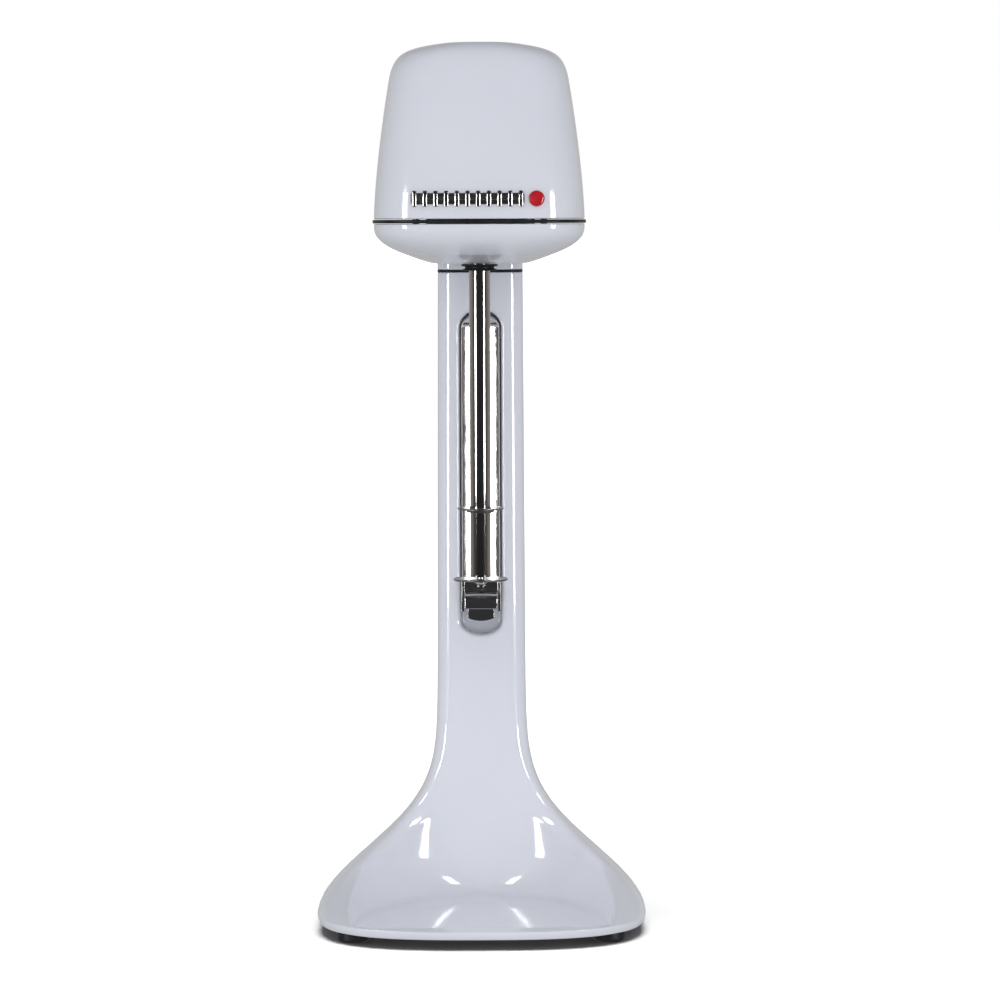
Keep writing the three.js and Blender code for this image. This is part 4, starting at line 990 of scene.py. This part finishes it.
def rear_fittings():
    low, high = span("cord_gland")
    y0, y1 = low[1], high[1]
    profile = [(3.4, y0), (5.7, y0), (5.7, y1 - 1.6), (8.4, y1 - 1.3), (8.4, y1 - 0.5), (6.4, y1), (4.2, y1),
               (3.4, y1 - 0.6)]
    bush = lathe("inlet_bush", profile, axis="y", count=64, radius=0.5, closed=True)
    for v in bush.data.vertices:
        v.co.z += (low[2] + high[2]) / 2 * MM
    finish_piece(bush, "stand", "black_rubber", "cord_gland")

    for place in ("front_left", "front_right", "rear_left", "rear_right"):
        low, high = span(f"rubber_foot_{place}")
        x, y = (low[0] + high[0]) / 2, (low[1] + high[1]) / 2
        r = (high[0] - low[0]) / 2
        profile = [(2.2, 2.6), (4.2, 2.6), (4.2, 0), (r - 1.3, 0), (r, 1.3), (r - 0.3, high[2]),
                   (2.2, high[2])]
        pad = lathe(f"foot_pad_{place}", profile, x=x, y=y, count=64, radius=0.5, closed=True)
        finish_piece(pad, "stand", "black_rubber", f"rubber_foot_{place}")

    tilt, seat = SWITCH_LEAN, SWITCH_SEAT

    def leaned(piece):
        for v in piece.data.vertices:
            y, z = v.co.y / MM, v.co.z / MM
            v.co.y = (seat.y + y * math.cos(tilt) - z * math.sin(tilt)) * MM
            v.co.z = (seat.z + y * math.sin(tilt) + z * math.cos(tilt)) * MM

    def frame_side(x0, x1, z0, z1, y0, y1):
        return extruded("side", [(y0, z0), (y1, z0), (y1, z1), (y0, z1)], x0, x1)

    def bars(wide, tall, across, y0, y1):
        """Four bars around the rocker's opening."""
        upright = [frame_side(x0, x1, -tall, tall, y0, y1) for x0, x1 in ((-wide, -5.7), (5.7, wide))]
        level = [frame_side(-across, across, z0, z1, y0, y1) for z0, z1 in ((-tall, -8.7), (8.7, tall))]
        return upright + level

    back_wall = frame_side(-6.9, 6.9, -9.9, 9.9, -13, -8)
    sides = bars(9, 12, 5.8, 0.9, 2.4) + [back_wall] + bars(6.9, 9.9, 6.0, -9, 1.5)
    for side in sides:
        soften(side, 0.35)
    bezel = merged("switch_bezel", sides)
    leaned(bezel)
    finish_piece(bezel, "stand", "dark_plastic", "speed_switch_body")

    profile = [(-3.4, -1.8), (0.4, -7.9), (4.4, -7.9)]
    face = np.linspace(-1, 1, 17)[1:-1]
    profile += [(mix(4.4, 2.6, 1 - abs(t)) - 0.9 * (1 - t * t), 7.9 * t) for t in face]
    profile += [(4.4, 7.9), (0.4, 7.9), (-3.4, 1.8)]
    rocker = extruded("rocker_button", profile, -5.3, 5.3)
    soften(rocker, 0.4)
    leaned(rocker)
    finish_piece(rocker, "rocker", "dark_plastic", "speed_rocker")


casting = column_base()
hood()
lower_housing()
seam_gasket()
neck_gasket()
badge()
spindle_line()
cup_guide()
cup_rest()
rear_fittings()


# ------------------------------------------------------------------ floor, light and camera


def floor():
    """Plain pale floor. It glows a little far from the object, where the overhead light doesn't reach."""
    bm = bmesh.new()
    bmesh.ops.create_circle(bm, cap_ends=True, segments=96, radius=150)
    mesh = bpy.data.meshes.new("floor")
    bm.to_mesh(mesh)
    bm.free()
    plane = bpy.data.objects.new("floor", mesh)
    bpy.context.scene.collection.objects.link(plane)
    material, nodes, links, shader = new_material("pale_floor")
    vector = object_space(nodes, links)
    tint = noise(nodes, links, vector, 6)
    color = blend_colors(nodes, links, tint, (0.21, 0.21, 0.21), (0.23, 0.23, 0.23))
    links.new(color, shader.inputs["Base Color"])
    shader.inputs["Roughness"].default_value = 0.8
    shader.inputs["Specular IOR Level"].default_value = 0.1
    shader.inputs["Emission Color"].default_value = (1, 1, 1, 1)
    away = nodes.new("ShaderNodeVectorMath")
    away.operation = "LENGTH"
    links.new(vector, away.inputs[0])
    glow = spread(nodes, links, away.outputs["Value"], 0.0, 1.2, 0.25, 1.6)
    links.new(glow, shader.inputs["Emission Strength"])
    plane.data.materials.append(material)
    plane.visible_diffuse = False
    plane.visible_glossy = False
    return plane


def area_light(name, place, target, size, size_y, power):
    light = bpy.data.lights.new(name, "AREA")
    light.shape = "RECTANGLE"
    light.size = size
    light.size_y = size_y
    light.energy = power
    lamp = bpy.data.objects.new(name, light)
    lamp.location = place
    lamp.rotation_euler = (Vector(target) - Vector(place)).to_track_quat("-Z", "Y").to_euler()
    lamp.visible_camera = False
    bpy.context.scene.collection.objects.link(lamp)
    return lamp


def ramp_by_direction(nodes, links, axis, stops):
    """Color that follows one axis of the direction a ray leaves in, from -1 to 1."""
    place = nodes.new("ShaderNodeTexCoord")
    split = nodes.new("ShaderNodeSeparateXYZ")
    links.new(place.outputs["Generated"], split.inputs["Vector"])
    shift = nodes.new("ShaderNodeMath")
    shift.operation = "MULTIPLY_ADD"
    shift.inputs[1].default_value = 0.5
    shift.inputs[2].default_value = 0.5
    links.new(split.outputs[axis], shift.inputs[0])
    ramp = nodes.new("ShaderNodeValToRGB")
    ramp.color_ramp.interpolation = "EASE"
    for position, color in stops[1:-1]:
        ramp.color_ramp.elements.new((position + 1) / 2).color = (*color, 1)
    ramp.color_ramp.elements[0].color = (*stops[0][1], 1)
    ramp.color_ramp.elements[-1].color = (*stops[-1][1], 1)
    links.new(shift.outputs[0], ramp.inputs["Fac"])
    return ramp.outputs["Color"]


def world():
    """Plain studio: white behind the object, even soft light all round, a darker room in reflections."""
    studio = bpy.data.worlds.new("studio")
    studio.use_nodes = True
    nodes, links = studio.node_tree.nodes, studio.node_tree.links
    nodes.clear()
    output = nodes.new("ShaderNodeOutputWorld")
    path = nodes.new("ShaderNodeLightPath")
    seen = nodes.new("ShaderNodeBackground")
    seen.inputs["Color"].default_value = (1, 1, 1, 1)
    soft = nodes.new("ShaderNodeBackground")
    soft.inputs["Strength"].default_value = 1.04
    greys = ((-1, 0.46), (-0.35, 0.66), (0.0, 0.99), (0.45, 0.72), (1, 0.28))
    even = ramp_by_direction(nodes, links, "Z", [(place, (v, v, v * 1.02)) for place, v in greys])
    links.new(even, soft.inputs["Color"])
    mirror = nodes.new("ShaderNodeBackground")
    around = ramp_by_direction(nodes, links, "Y", [
        (-1, (0.030, 0.030, 0.034)), (-0.75, (0.035, 0.034, 0.036)), (-0.42, (0.10, 0.092, 0.086)),
        (0.0, (0.26, 0.24, 0.225)), (0.4, (0.42, 0.41, 0.40)), (1, (0.50, 0.50, 0.50))])
    above = ramp_by_direction(nodes, links, "Z", [
        (-1, (1, 1, 1)), (0.1, (1, 1, 1)), (0.5, (0.6, 0.6, 0.6)), (1, (0.3, 0.3, 0.3))])
    dimmed = nodes.new("ShaderNodeVectorMath")
    dimmed.operation = "MULTIPLY"
    links.new(around, dimmed.inputs[0])
    links.new(above, dimmed.inputs[1])
    links.new(dimmed.outputs["Vector"], mirror.inputs["Color"])
    first = nodes.new("ShaderNodeMixShader")
    links.new(path.outputs["Is Glossy Ray"], first.inputs["Fac"])
    links.new(soft.outputs[0], first.inputs[1])
    links.new(mirror.outputs[0], first.inputs[2])
    second = nodes.new("ShaderNodeMixShader")
    links.new(path.outputs["Is Camera Ray"], second.inputs["Fac"])
    links.new(first.outputs[0], second.inputs[1])
    links.new(seen.outputs[0], second.inputs[2])
    links.new(second.outputs[0], output.inputs["Surface"])
    bpy.context.scene.world = studio


def only(name, piece):
    """Collection that holds one piece, for a light that reaches nothing else."""
    group = bpy.data.collections.new(name)
    group.objects.link(piece)
    return group


def lights(ground, shell):
    """Two upright softboxes make the thin upright highlights, a broad one in front fills the shade under
    the head, and an overhead one whitens the floor."""
    for side in (-1, 1):
        name = "upright_left" if side < 0 else "upright_right"
        box = area_light(name, (side * 1.2, -1.08, 0.34), (0, 0.02, 0.34), 0.28, 0.62, 12.0)
        box.visible_diffuse = False
    fill = area_light("front_fill", (0, -2.6, 0.5), (0, 0, 0.3), 1.5, 1.5, 17.5)
    fill.visible_glossy = False
    top_fill = area_light("top_fill", (0, -0.9, 1.3), (0, -0.03, 0.02), 1.0, 1.0, 3.4)
    top_fill.visible_glossy = False
    top_fill.light_linking.receiver_collection = only("lit_by_top_fill", shell)
    for side in (-1, 1):
        name = "raised_left" if side < 0 else "raised_right"
        box = area_light(name, (side * 0.75, -0.85, 1.25), (0, 0.0, 0.03), 0.2, 0.5, 9.0)
        box.visible_diffuse = False
        box.light_linking.receiver_collection = only("lit_by_raised", shell)
    overhead = area_light("overhead", (0, -0.2, 2.2), (0, 0.0, 0.0), 1.5, 1.5, 300.0)
    overhead.light_linking.receiver_collection = only("lit_by_overhead", ground)


CAMERA_DISTANCE = 2.394  # metres in front of the origin
CAMERA_ASIDE = 0.0108
CAMERA_TILT, CAMERA_ROLL = 3.675, -0.2  # degrees
CAMERA_LENS = 156.4


def camera():
    """Level with the head's seam, tilted slightly down."""
    data = bpy.data.cameras.new("camera")
    data.sensor_width = 36
    data.lens = CAMERA_LENS
    data.clip_end = 100
    eye = bpy.data.objects.new("camera", data)
    seam = (GASKET_LOW[2] + GASKET_HIGH[2]) / 2 * MM
    eye.location = (CAMERA_ASIDE, -CAMERA_DISTANCE, seam + 0.0002)
    roll = Matrix.Rotation(math.radians(CAMERA_ROLL), 4, "Z")
    eye.rotation_euler = (Matrix.Rotation(math.radians(90 - CAMERA_TILT), 4, "X") @ roll).to_euler()
    bpy.context.scene.collection.objects.link(eye)
    bpy.context.scene.camera = eye


ground = floor()
world()
lights(ground, casting)
camera()
bpy.context.scene.view_settings.view_transform = "Standard"
bpy.context.scene.view_settings.look = "None"
